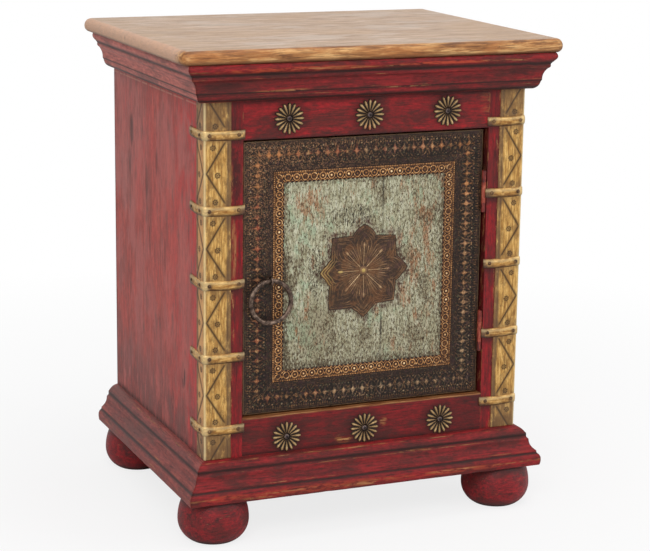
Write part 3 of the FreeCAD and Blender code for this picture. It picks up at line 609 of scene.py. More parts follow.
def hinge_finish():
    """Hinges were painted with the cabinet, and the middle knuckles have rubbed bright."""
    f = Finish("hinge_paint")
    scale, pits = f.noises("Z", (3, 3.5, 5, 0.66, 6), (1, 1.2, 4, 0.7, 9))
    leaves = [box("hinge_%s_door_leaf" % place) for place in ("upper", "lower")]
    knuckles = [f.calc("ABSOLUTE", f.z - (low.z + high.z) / 2 + 1.5)(13.5, 12) for low, high in leaves]
    f.colour = f.ramp(scale, WIDE_THIRDS, (62, 24, 20), (112, 34, 28), (150, 62, 44))
    f.coat(f.ramp(scale, WIDE_THIRDS, (118, 42, 32), (154, 66, 48), (188, 106, 80)), greatest(knuckles))
    f.coat((50, 26, 22), pits(0.56, 0.66) * 0.55)
    return f.done(scale * 0.25 + 0.34, scale + pits * 0.6, 0.3, metal=0.25)


# Meshes


def held(values, lowest=0, highest=1):
    return np.clip(values, lowest, highest)


def points_at(x, y, z):
    return np.stack(np.broadcast_arrays(x, y, z), -1).astype(float)


def levelled(points, height, axis=1):
    """A copy of points with one coordinate the same for all."""
    flat = points.copy()
    flat[..., axis] = height
    return flat


def dial(turn_count, share_count):
    """A turn round the middle and a share of the way out, for each point of a round grid."""
    turns = np.linspace(0, FULL_TURN, turn_count, endpoint=False)
    return np.meshgrid(turns, np.linspace(0, 1, share_count), indexing="ij")


def repeated(along, pitch):
    """Distance from the nearest multiple of pitch."""
    return (along / pitch - np.round(along / pitch)) * pitch


def ripple(points, size, seed, octaves=3):
    """Smooth pseudo-random waves over points, about -1 to 1, the same on each run."""
    rng = np.random.default_rng(seed)
    total = np.zeros(points.shape[:-1])
    for octave in range(octaves):
        for _ in range(5):
            direction = rng.normal(size=3)
            direction *= FULL_TURN * 2 ** octave / size / np.linalg.norm(direction)
            total += np.sin(points @ direction + rng.uniform(0, FULL_TURN)) * 0.6 ** octave
    return total / 5


def ridge(distance, half_width):
    """A rounded ridge where distance is 0."""
    return np.exp(-(distance / half_width) ** 2)


def dome(distance, radius):
    """A dome over a spot, 1 at its middle and 0 from radius out."""
    return np.sqrt(held(1 - (distance / radius) ** 2))


def linked(name, data):
    """A new object in the scene."""
    made = bpy.data.objects.new(name, data)
    bpy.context.scene.collection.objects.link(made)
    return made


def grid_piece(name, top, base, body, material, masks=None, closed=False, flip=False):
    """A sheet from a grid of points, with a rim from its edges down to the same grid on its base."""
    order = slice(None, None, -1 if flip else 1)
    top, base = top[order], base[order]
    rows, columns = top.shape[:2]
    index = np.arange(rows * columns).reshape(rows, columns)
    here = np.vstack([index, index[:1]]) if closed else index
    faces = np.stack([here[:-1, :-1], here[1:, :-1], here[1:, 1:], here[:-1, 1:]], -1).reshape(-1, 4)
    rim = np.append(index[:, -1], index[0, -1]) if closed else np.concatenate(
        [index[:-1, 0], index[-1, :-1], index[:0:-1, -1], index[0, ::-1]])
    low = rows * columns + np.arange(len(rim))
    sides = np.stack([rim[1:], rim[:-1], low[:-1], low[1:]], -1)
    points = np.vstack([top.reshape(-1, 3), base.reshape(-1, 3)[rim]]) * MM
    mesh = bpy.data.meshes.new(name)
    mesh.from_pydata(points.tolist(), [], np.vstack([faces, sides]).tolist())
    for label, values in (masks or {}).items():
        flat = np.broadcast_to(values, (rows, columns))[order].reshape(-1)
        values = np.append(flat, flat[rim]).astype(np.float32)
        mesh.attributes.new(label, "FLOAT", "POINT").data.foreach_set("value", values)
    mesh.validate()
    mesh.polygons.foreach_set("use_smooth", [True] * len(mesh.polygons))
    mesh.materials.append(material)
    piece = linked(name, mesh)
    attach(piece, body)
    return piece


def joined(name, pieces, body):
    """Several pieces of one finish as a single object."""
    bpy.ops.object.select_all(action="DESELECT")
    for piece in pieces:
        piece.select_set(True)
    bpy.context.view_layer.objects.active = pieces[0]
    bpy.ops.object.join()
    whole = bpy.context.view_layer.objects.active
    whole.name = name
    whole.data.name = name
    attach(whole, body)
    return whole


# Mouldings: the CAD outlines, with rounded corners, slight waves and masks for hollows and edges

# Each outline point is a share of the projection, a share of the height,
# and the bulge of the line that leads to it, as a share of its length.
cornice_shares = [
    (0.25, 0, 0), (0.48, 0.2, 0.14), (0.53, 0.25, 0), (0.70, 0.575, -0.10), (0.77, 0.6, 0), (0.79, 0.66, 0),
    (0.77, 0.69, 0), (0.90, 0.79, 0), (0.95, 1, 0.22),
]
plinth_shares = [
    (0.94, 0, 0), (0.98, 0.21, 0.05), (0.86, 0.32, 0.10), (0.83, 0.33, 0), (0.83, 0.385, 0), (0.55, 0.68, -0.14),
    (0.46, 0.72, 0), (0.46, 0.83, 0), (0.42, 0.84, 0), (0, 1, 0.12),
]
# Lines along the mouldings: the dark ones are painted shade and soot, the light ones wood rubbed bare and painted
# highlight. Height above the floor and half width
shade_and_soot_lines = [(567.0, 2.9), (545.2, 1.2), (536.5, 2.2), (92.0, 2.8), (70.0, 1.7)]
rubbed_and_highlight_lines = [
    (571.5, 1.3), (562.2, 0.7), (547.2, 0.7), (541.5, 0.6), (100.5, 1.2), (62.0, 1.8), (73.0, 0.7), (88.5, 0.6),
]
moulding_step = 2.5
profile_step = 0.55


def bulged(start, end, bulge, t):
    """The point a share t along a line that bulges to one side."""
    sag = 4 * bulge * t * (1 - t)
    across, up = end[0] - start[0], end[1] - start[1]
    return start[0] + across * t + sag * up, start[1] + up * t - sag * across


def fine_profile(shares, projection, height):
    """Outline samples with rounded corners, their normals, and how sharp and how hollow each one is."""
    points = [(0.0, 0.0)]
    start = (0.0, 0.0)
    for out_share, up_share, bulge in shares:
        end = (out_share * projection, up_share * height)
        steps = max(2, round(math.hypot(end[0] - start[0], end[1] - start[1]) / profile_step))
        points += [bulged(start, end, bulge, step / steps) for step in range(1, steps + 1)]
        start = end
    line = np.array(points)
    window = np.exp(-np.linspace(-2, 2, 9) ** 2)
    window /= window.sum()
    padded = np.vstack([np.repeat(line[:1], 4, 0), line, np.repeat(line[-1:], 4, 0)])
    smooth = np.stack([np.convolve(padded[:, k], window, "valid") for k in range(2)], 1)
    smooth[0], smooth[-1] = line[0], line[-1]
    along = np.gradient(smooth, axis=0)
    normal = np.stack([along[:, 1], -along[:, 0]], 1) / (np.hypot(along[:, 0], along[:, 1]) + 1e-6)[:, None]
    offset = ((line - smooth) * normal).sum(1)
    edge = np.convolve(held(offset / 0.16), np.ones(3) / 3, "same")
    hollow = np.convolve(held(-offset / 0.12), np.ones(5) / 3, "same")
    return smooth, normal, held(edge), held(hollow)


def moulding_piece(name, shares, box_low, box_high, seed, side_tones):
    """Front, left and right lengths of a moulding, mitred at the front corners."""
    height = box_high.z - box_low.z
    projection = front_y - box_low.y
    for _ in range(4):
        line = fine_profile(shares, projection, height)[0]
        projection *= (front_y - box_low.y) / line[:, 0].max()
    line, normal, edge, hollow = fine_profile(shares, projection * 0.997, height)
    reach = line[None, :, 0]
    z = box_low.z + line[:, 1]
    masks = {"edge": edge, "hollow": hollow}
    for label, lines in (("dark", shade_and_soot_lines), ("light", rubbed_and_highlight_lines)):
        masks[label] = held(sum(ridge(z - place, half) for place, half in lines))
    grip = np.ones(len(line))
    grip[0] = grip[-1] = 0
    # Each run's start and end, the way out of it, and whether its start and end are mitred
    runs = {
        "front": ((-post_x, front_y, 0), (post_x, front_y, 0), (0, -1, 0), (1, 1)),
        "left": ((-post_x, back_y, 0), (-post_x, front_y, 0), (-1, 0, 0), (0, 1)),
        "right": ((post_x, front_y, 0), (post_x, back_y, 0), (1, 0, 0), (1, 0)),
    }
    for side, (start, end, out, mitres) in runs.items():
        start, end, out = np.array(start), np.array(end), np.array(out)
        length = np.linalg.norm(end - start)
        along = (end - start) / length
        t = np.linspace(0, 1, round(length / moulding_step) + 1)[:, None]
        low = -reach * mitres[0]
        place = low + (length + reach * mitres[1] - low) * t
        top = levelled(start + place[..., None] * along + reach[..., None] * out, z, axis=2)
        base = levelled(start + (length * t + 0 * reach)[..., None] * along, z, axis=2)
        wave = ripple(top, 90, seed) * 0.18 + ripple(top, 17, seed + 1) * 0.06
        nicks = held(ripple(top, 34, seed + 2) - 0.45) * edge * 0.9
        inward = (-np.abs(wave) - nicks) * grip
        top += inward[..., None] * (normal[None, :, :1] * out + normal[None, :, 1:] * np.array((0, 0, 1)))
        # The side runs take the side tones and glaze, paled by painted sheen and dust.
        axis, tones, glaze = ("X", FRONT_TONES, GLAZE) if side == "front" else ("Y", side_tones, DUST_AND_SHEEN_GLAZE)
        paint = moulding_finish(name + "_" + side + "_paint", axis, seed + len(side), tones, glaze)
        piece = grid_piece(name + "_" + side + "_worn", top, base, "carcass", paint, masks)
        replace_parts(piece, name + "_" + side)


# Brass on the posts


def post_grid(side, box_low, box_high, bend, step, heights):
    """A grid bent round a post: its points, the ways out of it, and the reach from the corner, front ones negative."""
    front, rear = box_high.x - box_low.x, box_high.y - box_low.y
    half = math.pi / 4 * bend
    reaches = np.concatenate([
        np.linspace(bend - front - half, -half, max(2, round((front - bend) / step)) + 1),
        np.linspace(-half, half, 7)[1:-1],
        np.linspace(half, half + rear - bend, max(2, round((rear - bend) / step)) + 1),
    ])[:, None]
    turn = held((reaches + half) / bend, 0, math.pi / 2)
    x = post_x - bend + bend * np.sin(turn) + np.minimum(reaches + half, 0)
    y = front_y + bend - bend * np.cos(turn) + np.maximum(reaches - half, 0)
    return points_at(side * x, y, heights), points_at(side * np.sin(turn), -np.cos(turn), 0 * heights), reaches


def from_straps(z):
    return np.abs(z[..., None] - np.array(strap_heights)).min(-1)


engraving_half = 1.15
zigzag_out, zigzag_in, zigzag_end = 2.0, 30.5, 28
petal_count, petal_out = 7, 2.6


def engraving(reach, z):
    """Engraved zigzag, punched flowers and the tarnish round them, from 0 to 1; reach runs from the post's corner."""
    phase = np.abs(repeated(z - strap_heights[0], strap_pitch)) / strap_pitch * 2
    slope = (zigzag_in - zigzag_out) / (strap_pitch / 2)
    from_line = (reach - zigzag_in - (zigzag_out - zigzag_in) * phase) / math.hypot(1, slope)
    zigzag = ridge(from_line, engraving_half) * held((from_straps(z) - 7) / 3) * (reach < zigzag_end)
    dots = np.zeros_like(z)
    flowers = [(15.8, (below + above) / 2 - 2.6) for below, above in zip(strap_heights, strap_heights[1:])]
    for height in strap_heights:
        flowers += [(10, height - 14.5), (13, height + 10.5)]
    for at, height in flowers:
        if angle_low.z + 5 < height < angle_high.z - 5:
            for petal in range(petal_count):
                turn = FULL_TURN * petal / petal_count
                spot = np.hypot(reach - at - petal_out * math.cos(turn), z - height - petal_out * math.sin(turn))
                dots = np.maximum(dots, 1.4 * ridge(spot, 1.0))
            dots = np.maximum(dots, 1.2 * ridge(np.hypot(reach - at, z - height), 1.0))
    halo = np.maximum(ridge(from_line, 2.6) * (reach < zigzag_end), dots)
    return zigzag, dots, halo


def angle_piece(name, side):
    heights = np.linspace(angle_low.z, angle_high.z, round((angle_high.z - angle_low.z) / 0.75) + 1)
    base, outward, reaches = post_grid(side, angle_low, angle_high, 1.4, 0.6, heights)
    thickness = angle_high.x - post_x
    z = base[..., 2]
    reach = np.abs(reaches) + 0 * z
    zigzag, dots, halo = engraving(reach, z)
    from_edge = np.where(reaches < 0, angle_high.x - angle_low.x, angle_high.y - angle_low.y) - reach
    fold = ridge(from_edge - 4.2, 0.8)
    dents = ripple(base, 22, 5) * 0.10 * held(from_edge / 3)
    rise = held(thickness - 0.12 + dents - 0.4 * zigzag - 0.4 * dots - 0.22 * fold, 0.15, thickness)
    below_strap = held(1 - (from_straps(z) - 5) / 12)
    ends = held(1.25 - (z - angle_low.z) / 36, 0, 0.95) + held(1.25 - (angle_high.z - z) / 40, 0, 0.8)
    waver = ripple(base * np.array([0, 0, 1]), 60, 15) * 1.3
    edge = held((7.2 + waver - from_edge) / 2.6)
    masks = {
        "line": held(zigzag + dots + 0.55 * fold),
        "halo": held(halo),
        "grime": held(0.55 * below_strap + ends + edge * 0.9),
        # Painted highlight down the bend at the post's corner.
        "painted_highlight": ridge(reaches, 1.2),
    }
    top = base + rise[..., None] * outward
    piece = grid_piece(name, top, base, "carcass", brass, masks, flip=side < 0)
    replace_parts(piece, "corner_angle_" + ("right" if side > 0 else "left"))


strap_nail_front = (202.5, 166.0)
strap_nail_side = (11.0, 39.5)
strap_bow = 0.9


def strap_piece(side, height, seed):
    front, rear = strap_high.x - strap_low.x, strap_high.y - strap_low.y
    thickness = strap_high.x - post_x
    across = np.linspace(-1, 1, 15)
    base, outward, reaches = post_grid(side, strap_low, strap_high, 2.2, 1.0, height + strap_half * across)
    crown = np.sqrt(held(1 - np.abs(across) ** 3.2))
    from_end = np.minimum(reaches - reaches[0], reaches[-1] - reaches)
    taper = held(from_end / 1.2) ** 0.5
    hammer = ripple(base, 13, seed) * 0.16
    rise = (1.0 + (thickness - 1.25) * crown + hammer * crown) * (0.55 + 0.45 * taper)
    wander = ripple(base * np.array([1, 1, 0]), 40, seed + 1) * 0.45
    top = base + np.minimum(rise, thickness - 0.05)[..., None] * outward
    top[..., 2] += wander * held(from_end / 6)
    top[..., 2] -= strap_bow * (np.sin(math.pi * held(-reaches / front)) + np.sin(math.pi * held(reaches / rear)))
    from_nail = np.minimum(np.abs(reaches + post_x - strap_nail_front[0]), np.abs(reaches - strap_nail_side[0]))
    inner_end = held((-reaches - (front - 17)) / 13)
    rear_end = held((reaches - (rear - 20)) / 14) * 0.9
    # The lower edge's mask is painted shade; the top edge and the corner carry a painted highlight.
    masks = {
        "end": held(inner_end + rear_end),
        "stain": ridge(np.hypot(from_nail, across * strap_half), 3.4),
        "painted_shade_below": held((-across - 0.30) / 0.5),
        "painted_highlight": held(ridge(reaches, 3.5) + 0.7 * ridge(across - 0.55, 0.3)),
    }
    lowered = levelled(base, top[..., 2], axis=2)
    return grid_piece("strap", top, lowered, "carcass", strap_brass, masks, flip=side < 0)


# Pressed brass and copper


def rosette_piece(x, z):
    """A pressed rosette: sixteen teardrop petals round a sunk middle with its nail."""
    petals = 16
    turn, share = dial(petals * 22, 44)
    folded = (turn / FULL_TURN * petals + 0.5) % 1 - 0.5
    aside = folded * FULL_TURN / petals * share * rosette_radius
    petal_end, petal_half = 0.86, 1.95
    width = petal_half * held((share - 0.16) / (petal_end - 0.16), 0.1) ** 0.7
    beyond = held(share - petal_end) * rosette_radius
    lobe = held(1 - (aside / width) ** 2 - (beyond / (0.14 * rosette_radius)) ** 2) ** 0.5 * (share > 0.25)
    rim_share = 1 - 0.17 * (1 - np.cos(folded * math.pi) ** 0.5) - 0.10 * np.abs(folded * 2) ** 3
    radius = share * rosette_radius * rim_share
    middle = share * rosette_radius
    height = 0.45 + lobe * (0.7 + 1.7 * held((share - 0.2) / 0.6))
    height += 1.35 * ridge(middle - 4.9, 0.7) * (share < 0.35) + 2.9 * dome(middle, 3.3)
    height = np.where(share > 0.985, 0.1, height)
    top = points_at(x + radius * np.sin(turn), front_y - height, z + radius * np.cos(turn))
    petal_rise = lobe * (0.42 + 0.46 * held((share - 0.25) / 0.45))
    # The ring round the nail head, in the rise and rim masks, is a painted highlight.
    masks = {
        "rise": held(petal_rise + 0.6 * ridge(middle - 2.9, 0.5) * (share < 0.3)),
        "rim": ridge(middle - 2.5, 0.55) * (share < 0.3),
    }
    base = levelled(top, front_y)
    return grid_piece("rosette", top, base, "carcass", rosette_brass, masks, closed=True)


def border_relief(along, across, centre, pitch):
    """Relief of the dark border: onion-shaped crosses, arches round them, dots and tulips between them."""
    du = repeated(along, pitch)
    dv = across - centre
    spike = ridge(du, 0.85) * held(1.15 + dv / 8.6) * (dv < 0)
    stem = ridge(du, 0.75) * held(1.1 - dv / 7.0) * (dv > 0)
    arms = ridge(dv, 0.9) * held(1.2 - np.abs(du) / 5.0)
    bulb = dome(np.hypot(du, np.where(dv < 0, dv * 0.72, dv)), 2.8)
    flower = np.maximum.reduce([spike, stem, arms, bulb])
    arch = ridge(np.hypot(du, dv * 0.55) - 5.2, 0.7) * (np.abs(dv) < 10.5)
    between = pitch / 2 - np.abs(du)
    dots = np.maximum(dome(np.hypot(between, dv + 9.2), 1.15), dome(np.hypot(between, dv - 8.8), 1.0) * 0.6)
    tulip = ridge(between - 0.9 * np.abs(dv) / 4, 0.55) * (np.abs(dv) < 5)
    return flower, arch, dots, tulip


border_width = band_low.x - door_low.x
border_pitch = 12.5
comb_pitch = 3.1
band_width, band_pitch, bead_pitch = 15, 11.2, 2.3
sheet_most = 1.28
# The four strips of the door's frame: their turns from the bottom one, and how far in the crosses' middles are
strips = [(0.0, 19.0), (math.pi / 2, 21.0), (math.pi, 17.5), (-math.pi / 2, 17.8)]


def strip_grid(turn, inset, width, step):
    """Grid of a mitred strip of the door's frame: places, distances along and across it, and from its mitres."""
    half_x = (door_high.x - door_low.x) / 2 - inset
    half_z = (door_high.z - door_low.z) / 2 - inset
    half, down = (half_x, half_z) if abs(math.sin(turn)) < 0.5 else (half_z, half_x)
    across = np.linspace(0, width, round(width / step) + 1)
    t = np.linspace(-1, 1, round(2 * half / step) + 1)
    along = t[:, None] * (half - across)
    depth = across + 0 * along
    cosine, sine = math.cos(turn), math.sin(turn)
    up = depth - down
    base = points_at(door_middle.x + along * cosine - up * sine, plank_y, door_middle.z + along * sine + up * cosine)
    return base, along, depth, half - depth - np.abs(along)


# Where the border's crosses are ochre, ruddy and chalky: middle, height, half width, half height and share
ochre_places = [(-142, 470, 62, 60, 1.0), (142, 420, 30, 110, 0.8), (85, 470, 34, 30, 0.5), (142, 300, 30, 90, 0.3)]
ruddy_places = [(-10, 470, 120, 30, 0.7), (-142, 380, 30, 60, 0.9), (-142, 250, 30, 90, 0.5), (-90, 166, 80, 30, 0.35)]
chalk_places = [(50, 166, 120, 30, 0.46), (142, 220, 30, 90, 0.44), (40, 470, 60, 30, 0.3), (142, 360, 30, 60, 0.3)]


def reached(base, places):
    """How much of each point lies in soft ellipses on the door's face, from 0 to 1."""
    share = np.zeros(base.shape[:2])
    for x, z, half_width, half_height, most in places:
        away = ((base[..., 0] - x) / half_width) ** 2 + ((base[..., 2] - z) / half_height) ** 2
        share = np.maximum(share, most * held(1.4 * (1 - away)))
    return share


def lucky(seed, lowest, highest, along, pitch):
    """A random number for each motif of a strip, at all the motif's points."""
    numbers = np.round(along / pitch).astype(int)
    return np.random.default_rng(seed).uniform(lowest, highest, 64)[numbers + 32]


def border_strip(seed, base, along, depth, mitre, centre):
    inner = border_width - 7.2
    flower, arch, dots, tulip = border_relief(along, depth, centre, border_pitch)
    luck = lucky(300 + seed, 0.35, 1.0, along, border_pitch)
    ochre = reached(base, ochre_places)
    lively = 0.62 + 0.25 * ochre
    arch = arch * held(lively + 0.8 * ripple(base, 5, 320 + seed), 0, 1.3)
    tulip = tulip * held(lively + 0.8 * ripple(base, 4.4, 330 + seed), 0, 1.3)
    leaf_at = np.hypot(border_pitch / 2 - np.abs(repeated(along, border_pitch)), (np.abs(depth - centre) - 3.4) * 0.6)
    leaves = dome(leaf_at, 1.5) * held(0.7 + 0.9 * ripple(base, 7, 340 + seed))
    lines = sum(ridge(depth - place, half) for place, half in (
        (3.0, 0.45), (5.2, 0.4), (inner, 0.45), (inner + 1.8, 0.35), (border_width - 1.2, 0.4), (inner + 3.9, 0.3)))
    corner = held(mitre / 3)
    field = ((depth > 6.4) & (depth < inner - 1)) * corner
    comb = ridge(repeated(along, comb_pitch), 0.6) * ridge(depth - 6.4, 2.2) * corner
    pattern = np.maximum.reduce([flower * (0.5 + 0.5 * luck), 0.55 * arch, 0.8 * dots, 0.5 * tulip, 0.5 * leaves])
    rise = held(field * pattern + 0.55 * comb + 0.4 * lines + 0.4 * ridge(mitre - 1.4, 0.7))
    height = held(0.62 + ripple(base, 30, 8) * 0.05 + 0.62 * rise, 0.2, sheet_most)
    return height * (0.35 + 0.65 * held(depth / 0.9) ** 0.5), {
        "rise": rise * 0.72,
        "tint": held(field * flower * luck * 1.2 * ochre),
        "ruddy": held(field * flower * luck * 1.2 * reached(base, ruddy_places)),
        "chalk": held(field * np.maximum(flower, 0.3 * arch) * luck * reached(base, chalk_places)),
        "plain": ((depth > inner) | (depth < 6)) * 1.0,
        "dot": held(field * dots),
        "lip": ridge(depth, 0.9),
    }


def band_strip(seed, base, along, depth, mitre, centre):
    du, dv = repeated(along, band_pitch), depth - 8.0
    reach = np.hypot(du, dv)
    luck = lucky(400 + seed, 0.3, 1.3, along, band_pitch)
    hearts = np.maximum(dome(reach, 1.6) * luck, 0.4 * ridge(reach - 2.4, 0.4))
    beads = dome(np.hypot(repeated(along, bead_pitch), depth - 1.4), 1.0)
    side = band_pitch / 2 - np.abs(du)
    drops = np.maximum(dome(np.hypot(side, dv * 0.6 + 1.2), 1.2), dome(np.hypot(side, dv - 3.4), 1.0))
    lace = repeated(along, band_pitch / 2)
    scallop = ridge(np.hypot(lace, depth - 14.2) - 2.4, 0.45) * (depth > 11.6)
    corner = held(mitre / 2)
    rise = np.maximum.reduce([ridge(reach - 3.9, 0.55), hearts, 0.85 * drops, 0.8 * scallop]) * corner
    rise = held(np.maximum.reduce([rise, 0.85 * beads, 0.6 * ridge(depth - 3.0, 0.35), 0.5 * ridge(mitre - 1, 0.5)]))
    beyond_lace = depth > band_width - 1.7 * (np.abs(lace) / band_pitch * 4) ** 1.5
    height = held(np.where(beyond_lace, 0.08, 0.55 + 0.72 * rise), 0.08, sheet_most)
    return height, {"rise": rise * 0.85 + 0.25 * held(luck - 0.8) * dome(reach, 1.6) * corner}


def frame_piece(name, inset, width, step, material, relief, node):
    """Four mitred strips round the door as one piece; relief gives the heights and masks of each."""
    pieces = []
    for seed, (turn, centre) in enumerate(strips):
        base, along, depth, mitre = strip_grid(turn, inset, width, step)
        height, masks = relief(seed, base, along, depth, mitre, centre)
        top = levelled(base, plank_y - height)
        pieces.append(grid_piece(name, top, base, "door", material, masks))
    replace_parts(joined(name + "_embossed", pieces, "door"), node)


def panel_piece():
    """Paint over the planks of the door's middle: flaked along the grain, with one open seam."""
    inset = border_width + 12
    across = np.arange(door_low.x + inset, door_high.x - inset, 1.0)
    upward = np.arange(door_low.z + inset, door_high.z - inset, 1.0)
    base = points_at(across[:, None], plank_y, upward)
    x, z = base[..., 0], base[..., 2]
    flakes = ripple(base * np.array([1, 1, 0.14]), 6, 61, octaves=4) * 0.07
    wander = ripple(base * np.array([0, 0, 1]), 60, 63) * 0.5
    seam = held(1.3 * ridge(x - seam_x + wander, 1.05))
    clear = held((medal_low.z - z) / 4) * held((z - 232) / 8)
    above = held((z - medal_high.z - 16) / 8)
    seam = seam * held(0.45 + 0.55 * clear + 0.3 * above)
    out_x, out_z = x - medal_middle.x, z - medal_middle.z
    bearing = np.arctan2(out_x, out_z) % FULL_TURN
    reach = np.hypot(out_x, out_z) / (outline_radius(bearing) * pointed(bearing) * medal_radius)
    fringe = ridge(reach - 1.05, 0.08) * held(0.75 + 0.8 * ripple(base, 12, 67))
    top = base.copy()
    top[..., 1] -= 0.22 + held(flakes, -0.12, 0.12) - 0.08 * seam
    paint = panel_finish("panel_paint", False)
    grid_piece("panel_flaked", top, base, "door", paint, {"seam": seam, "fringe": fringe})


# The medallion's outline for a quarter turn, as shares of its radius: out, up and the line's bulge
quarter_shares = [(-0.72, 0.72, 0.0), (-0.27, 0.75, 0.0), (0.0, 1.0, -0.12), (0.27, 0.75, -0.12)]
# How far the hammered petals reach, against an even star, clockwise from the top one
petal_reaches = [0.966, 0.967, 0.983, 0.954, 0.998, 1.09, 1.01, 1.0]
boss_shift = 1.5


def outline_radius(turns):
    """The medallion's reach in each direction, as a share of its radius."""
    corners = []
    for cosine, sine in ((1, 0), (0, 1), (-1, 0), (0, -1)):
        corners += [(a * cosine + b * sine, b * cosine - a * sine, bulge) for a, b, bulge in quarter_shares]
    angles, reaches = [], []
    for here, there in zip(corners, corners[1:] + corners[:1]):
        for step in range(24):
            a, b = bulged(here, there, there[2], step / 24)
            angles.append(math.atan2(a, b) % FULL_TURN)
            reaches.append(math.hypot(a, b))
    order = np.argsort(angles)
    return np.interp(turns, np.array(angles)[order], np.array(reaches)[order], period=FULL_TURN)


def pointed(turns):
    """How far the shoulders beside the tips of the four long petals draw in, clockwise from the top one."""
    drawn = np.ones_like(turns)
    for quarter, depth in enumerate((0.015, 0.035, 0.06, 0.065)):
        off = np.abs((turns - quarter * math.pi / 2 + math.pi) % FULL_TURN - math.pi)
        drawn -= depth * ridge(off - 0.17, 0.12)
    return drawn


def medallion_piece():
    turn, share = dial(560, 92)
    turns = turn[:, 0]
    uneven = np.interp(turns, np.arange(8) * math.pi / 4, petal_reaches, period=FULL_TURN)
    radius = (outline_radius(turns) * uneven * pointed(turns))[:, None] * medal_radius * share
    axis = np.round(turn / (math.pi / 4)) * (math.pi / 4)
    off = turn - axis
    aside = radius * np.sin(off)
    petal_length = outline_radius(axis % FULL_TURN) * medal_radius
    s = radius * np.cos(off) / petal_length

    def loop(end, half, line):
        swell = np.sin(math.pi * held(s / end) ** 1.6)
        return ridge(np.abs(aside) - half * swell, line) * (s < end + 0.02) * (s > 0.13)

    def strand(degrees, half, start, end):
        return ridge(np.abs(off) - math.radians(degrees), half) * (s > start) * (s < end)

    flat = points_at(radius * np.sin(turn), 0, radius * np.cos(turn))
    broken = held(0.62 + 0.55 * ripple(flat, 16, 71), 0.1)
    loops = np.maximum.reduce([loop(0.92, 13.5, 0.55), 0.8 * loop(0.80, 9.6, 0.45), 0.7 * loop(0.68, 5.6, 0.4)])
    rib = ridge(aside, 0.5) * (s > 0.1) * (s < 0.54)
    club = 0.8 * dome(np.hypot(aside, (s - 0.52) * petal_length * 0.45), 1.7)
    strands = np.maximum(strand(5.5, 0.012, 0.16, 0.62), strand(17, 0.012, 0.2, 0.56))
    valley = ridge(np.abs(off) - math.pi / 8, 0.03) * (share > 0.35) * (share < 0.86)
    leftward = ridge(turn - 1.5 * math.pi, 0.36)
    outlined = 1 + 0.9 * leftward + 0.5 * ridge(turn - math.pi, 0.3)
    rim = (ridge(share - 0.955, 0.012) + 0.8 * ridge(share - 0.89, 0.010) + 0.6 * ridge(share - 0.82, 0.010)) * outlined
    boss = dome(radius, 5.2)
    rise = held(np.maximum.reduce([
        loops * 0.7 * broken, rib * 0.9, club, strand(11, 0.018, 0.13, 0.50) * 0.85 * broken,
        strands * 0.7 * broken, rim * 0.6 * broken, boss * 0.5]))
    rise = rise * (1 - 0.5 * valley) + 0.22 * held(1 - share * 1.1)
    height = 0.75 + 0.35 * np.sin(math.pi * share) + 0.75 * rise - 0.3 * valley + 1.1 * dome(radius, 2.4) + 0.7 * boss
    grown = radius * (1 - 0.012 * np.abs(ripple(flat, 60, 4)) * share)
    top = points_at(medal_middle.x + grown * np.sin(turn) - boss_shift * (1 - share), plank_y - height,
                    medal_middle.z + grown * np.cos(turn))
    gold = np.maximum.reduce([
        dome(radius, 2.7), club * (np.abs(axis - 1.5 * math.pi) < 0.1), 0.6 * held(rim) * leftward])
    masks = {"rise": 0.12 + rise * 0.8, "gold": gold}
    base = levelled(top, plank_y)
    piece = grid_piece("medallion_embossed", top, base, "door", medallion_copper, masks, closed=True)
    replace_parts(piece, "medallion", "medallion_nail")


# Iron


def ring_piece():
    """The forged ring pull, slightly uneven, with its closing seam at the bottom."""
    middle = (ring_low + ring_high) / 2
    wire = (ring_high.y - ring_low.y) / 2
    mean = (ring_high.x - ring_low.x) / 2 - wire
    turn, share = dial(160, 21)
    roll = FULL_TURN * share
    seam = ridge((np.abs(turn - math.pi) - 0.05) * mean, 0.5)
    spots = points_at(np.sin(turn), np.sin(roll) * 0.1, np.cos(turn)) * mean
    thick = np.minimum(wire * (0.955 + 0.03 * ripple(spots, 24, 12)) - 0.3 * seam, wire)
    out = mean + thick * np.cos(roll)
    top = points_at(middle.x + out * np.sin(turn), middle.y - thick * np.sin(roll), middle.z + out * np.cos(turn))
    piece = grid_piece("ring_forged", top, top, "ring", ring_iron, closed=True)
    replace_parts(piece, "ring_pull")


def nail_piece(place, out, radius, height, seed):
    """A hammered nail head: a low dome with facets and an uneven edge."""
    turn, share = dial(18, 7)
    facets = 0.94 + 0.06 * np.cos(turn * 7 + np.random.default_rng(seed).uniform(0, 6))
    out = np.array(out, float)
    first = np.cross(out, (0, 0, 1.0))
    second = np.cross(out, first)
    spread = (radius * share * facets)[..., None]
    lift = (height * np.sqrt(held(1 - share ** 2.4)))[..., None] * out
    turn = turn[..., None]
    base = np.array(place) + spread * (np.cos(turn) * first + np.sin(turn) * second)
    return grid_piece("nail", base + lift, base, "carcass", nail_iron, closed=True)


# Build the pieces

brass = brass_finish()
strap_brass = strap_finish()
rosette_brass = rosette_finish()
border_copper = border_finish()
gilt_band = band_finish()
medallion_copper = medallion_finish()
ring_iron = iron_finish("ring_iron", 5, 0.75, (48, 37, 32), (90, 73, 63), (146, 124, 108))
nail_iron = iron_finish("nail_iron", 8, 0.6, (46, 32, 26), (92, 66, 44), (150, 116, 76))
steel = iron_finish("zinc_steel", 14, 0.9, (120, 116, 108), (156, 152, 144), (186, 182, 174))

moulding_piece("cornice", cornice_shares, cornice_low, cornice_high, 100, SIDE_TONES)
moulding_piece("plinth", plinth_shares, plinth_low, plinth_high, 200, LOW_SIDE_TONES)

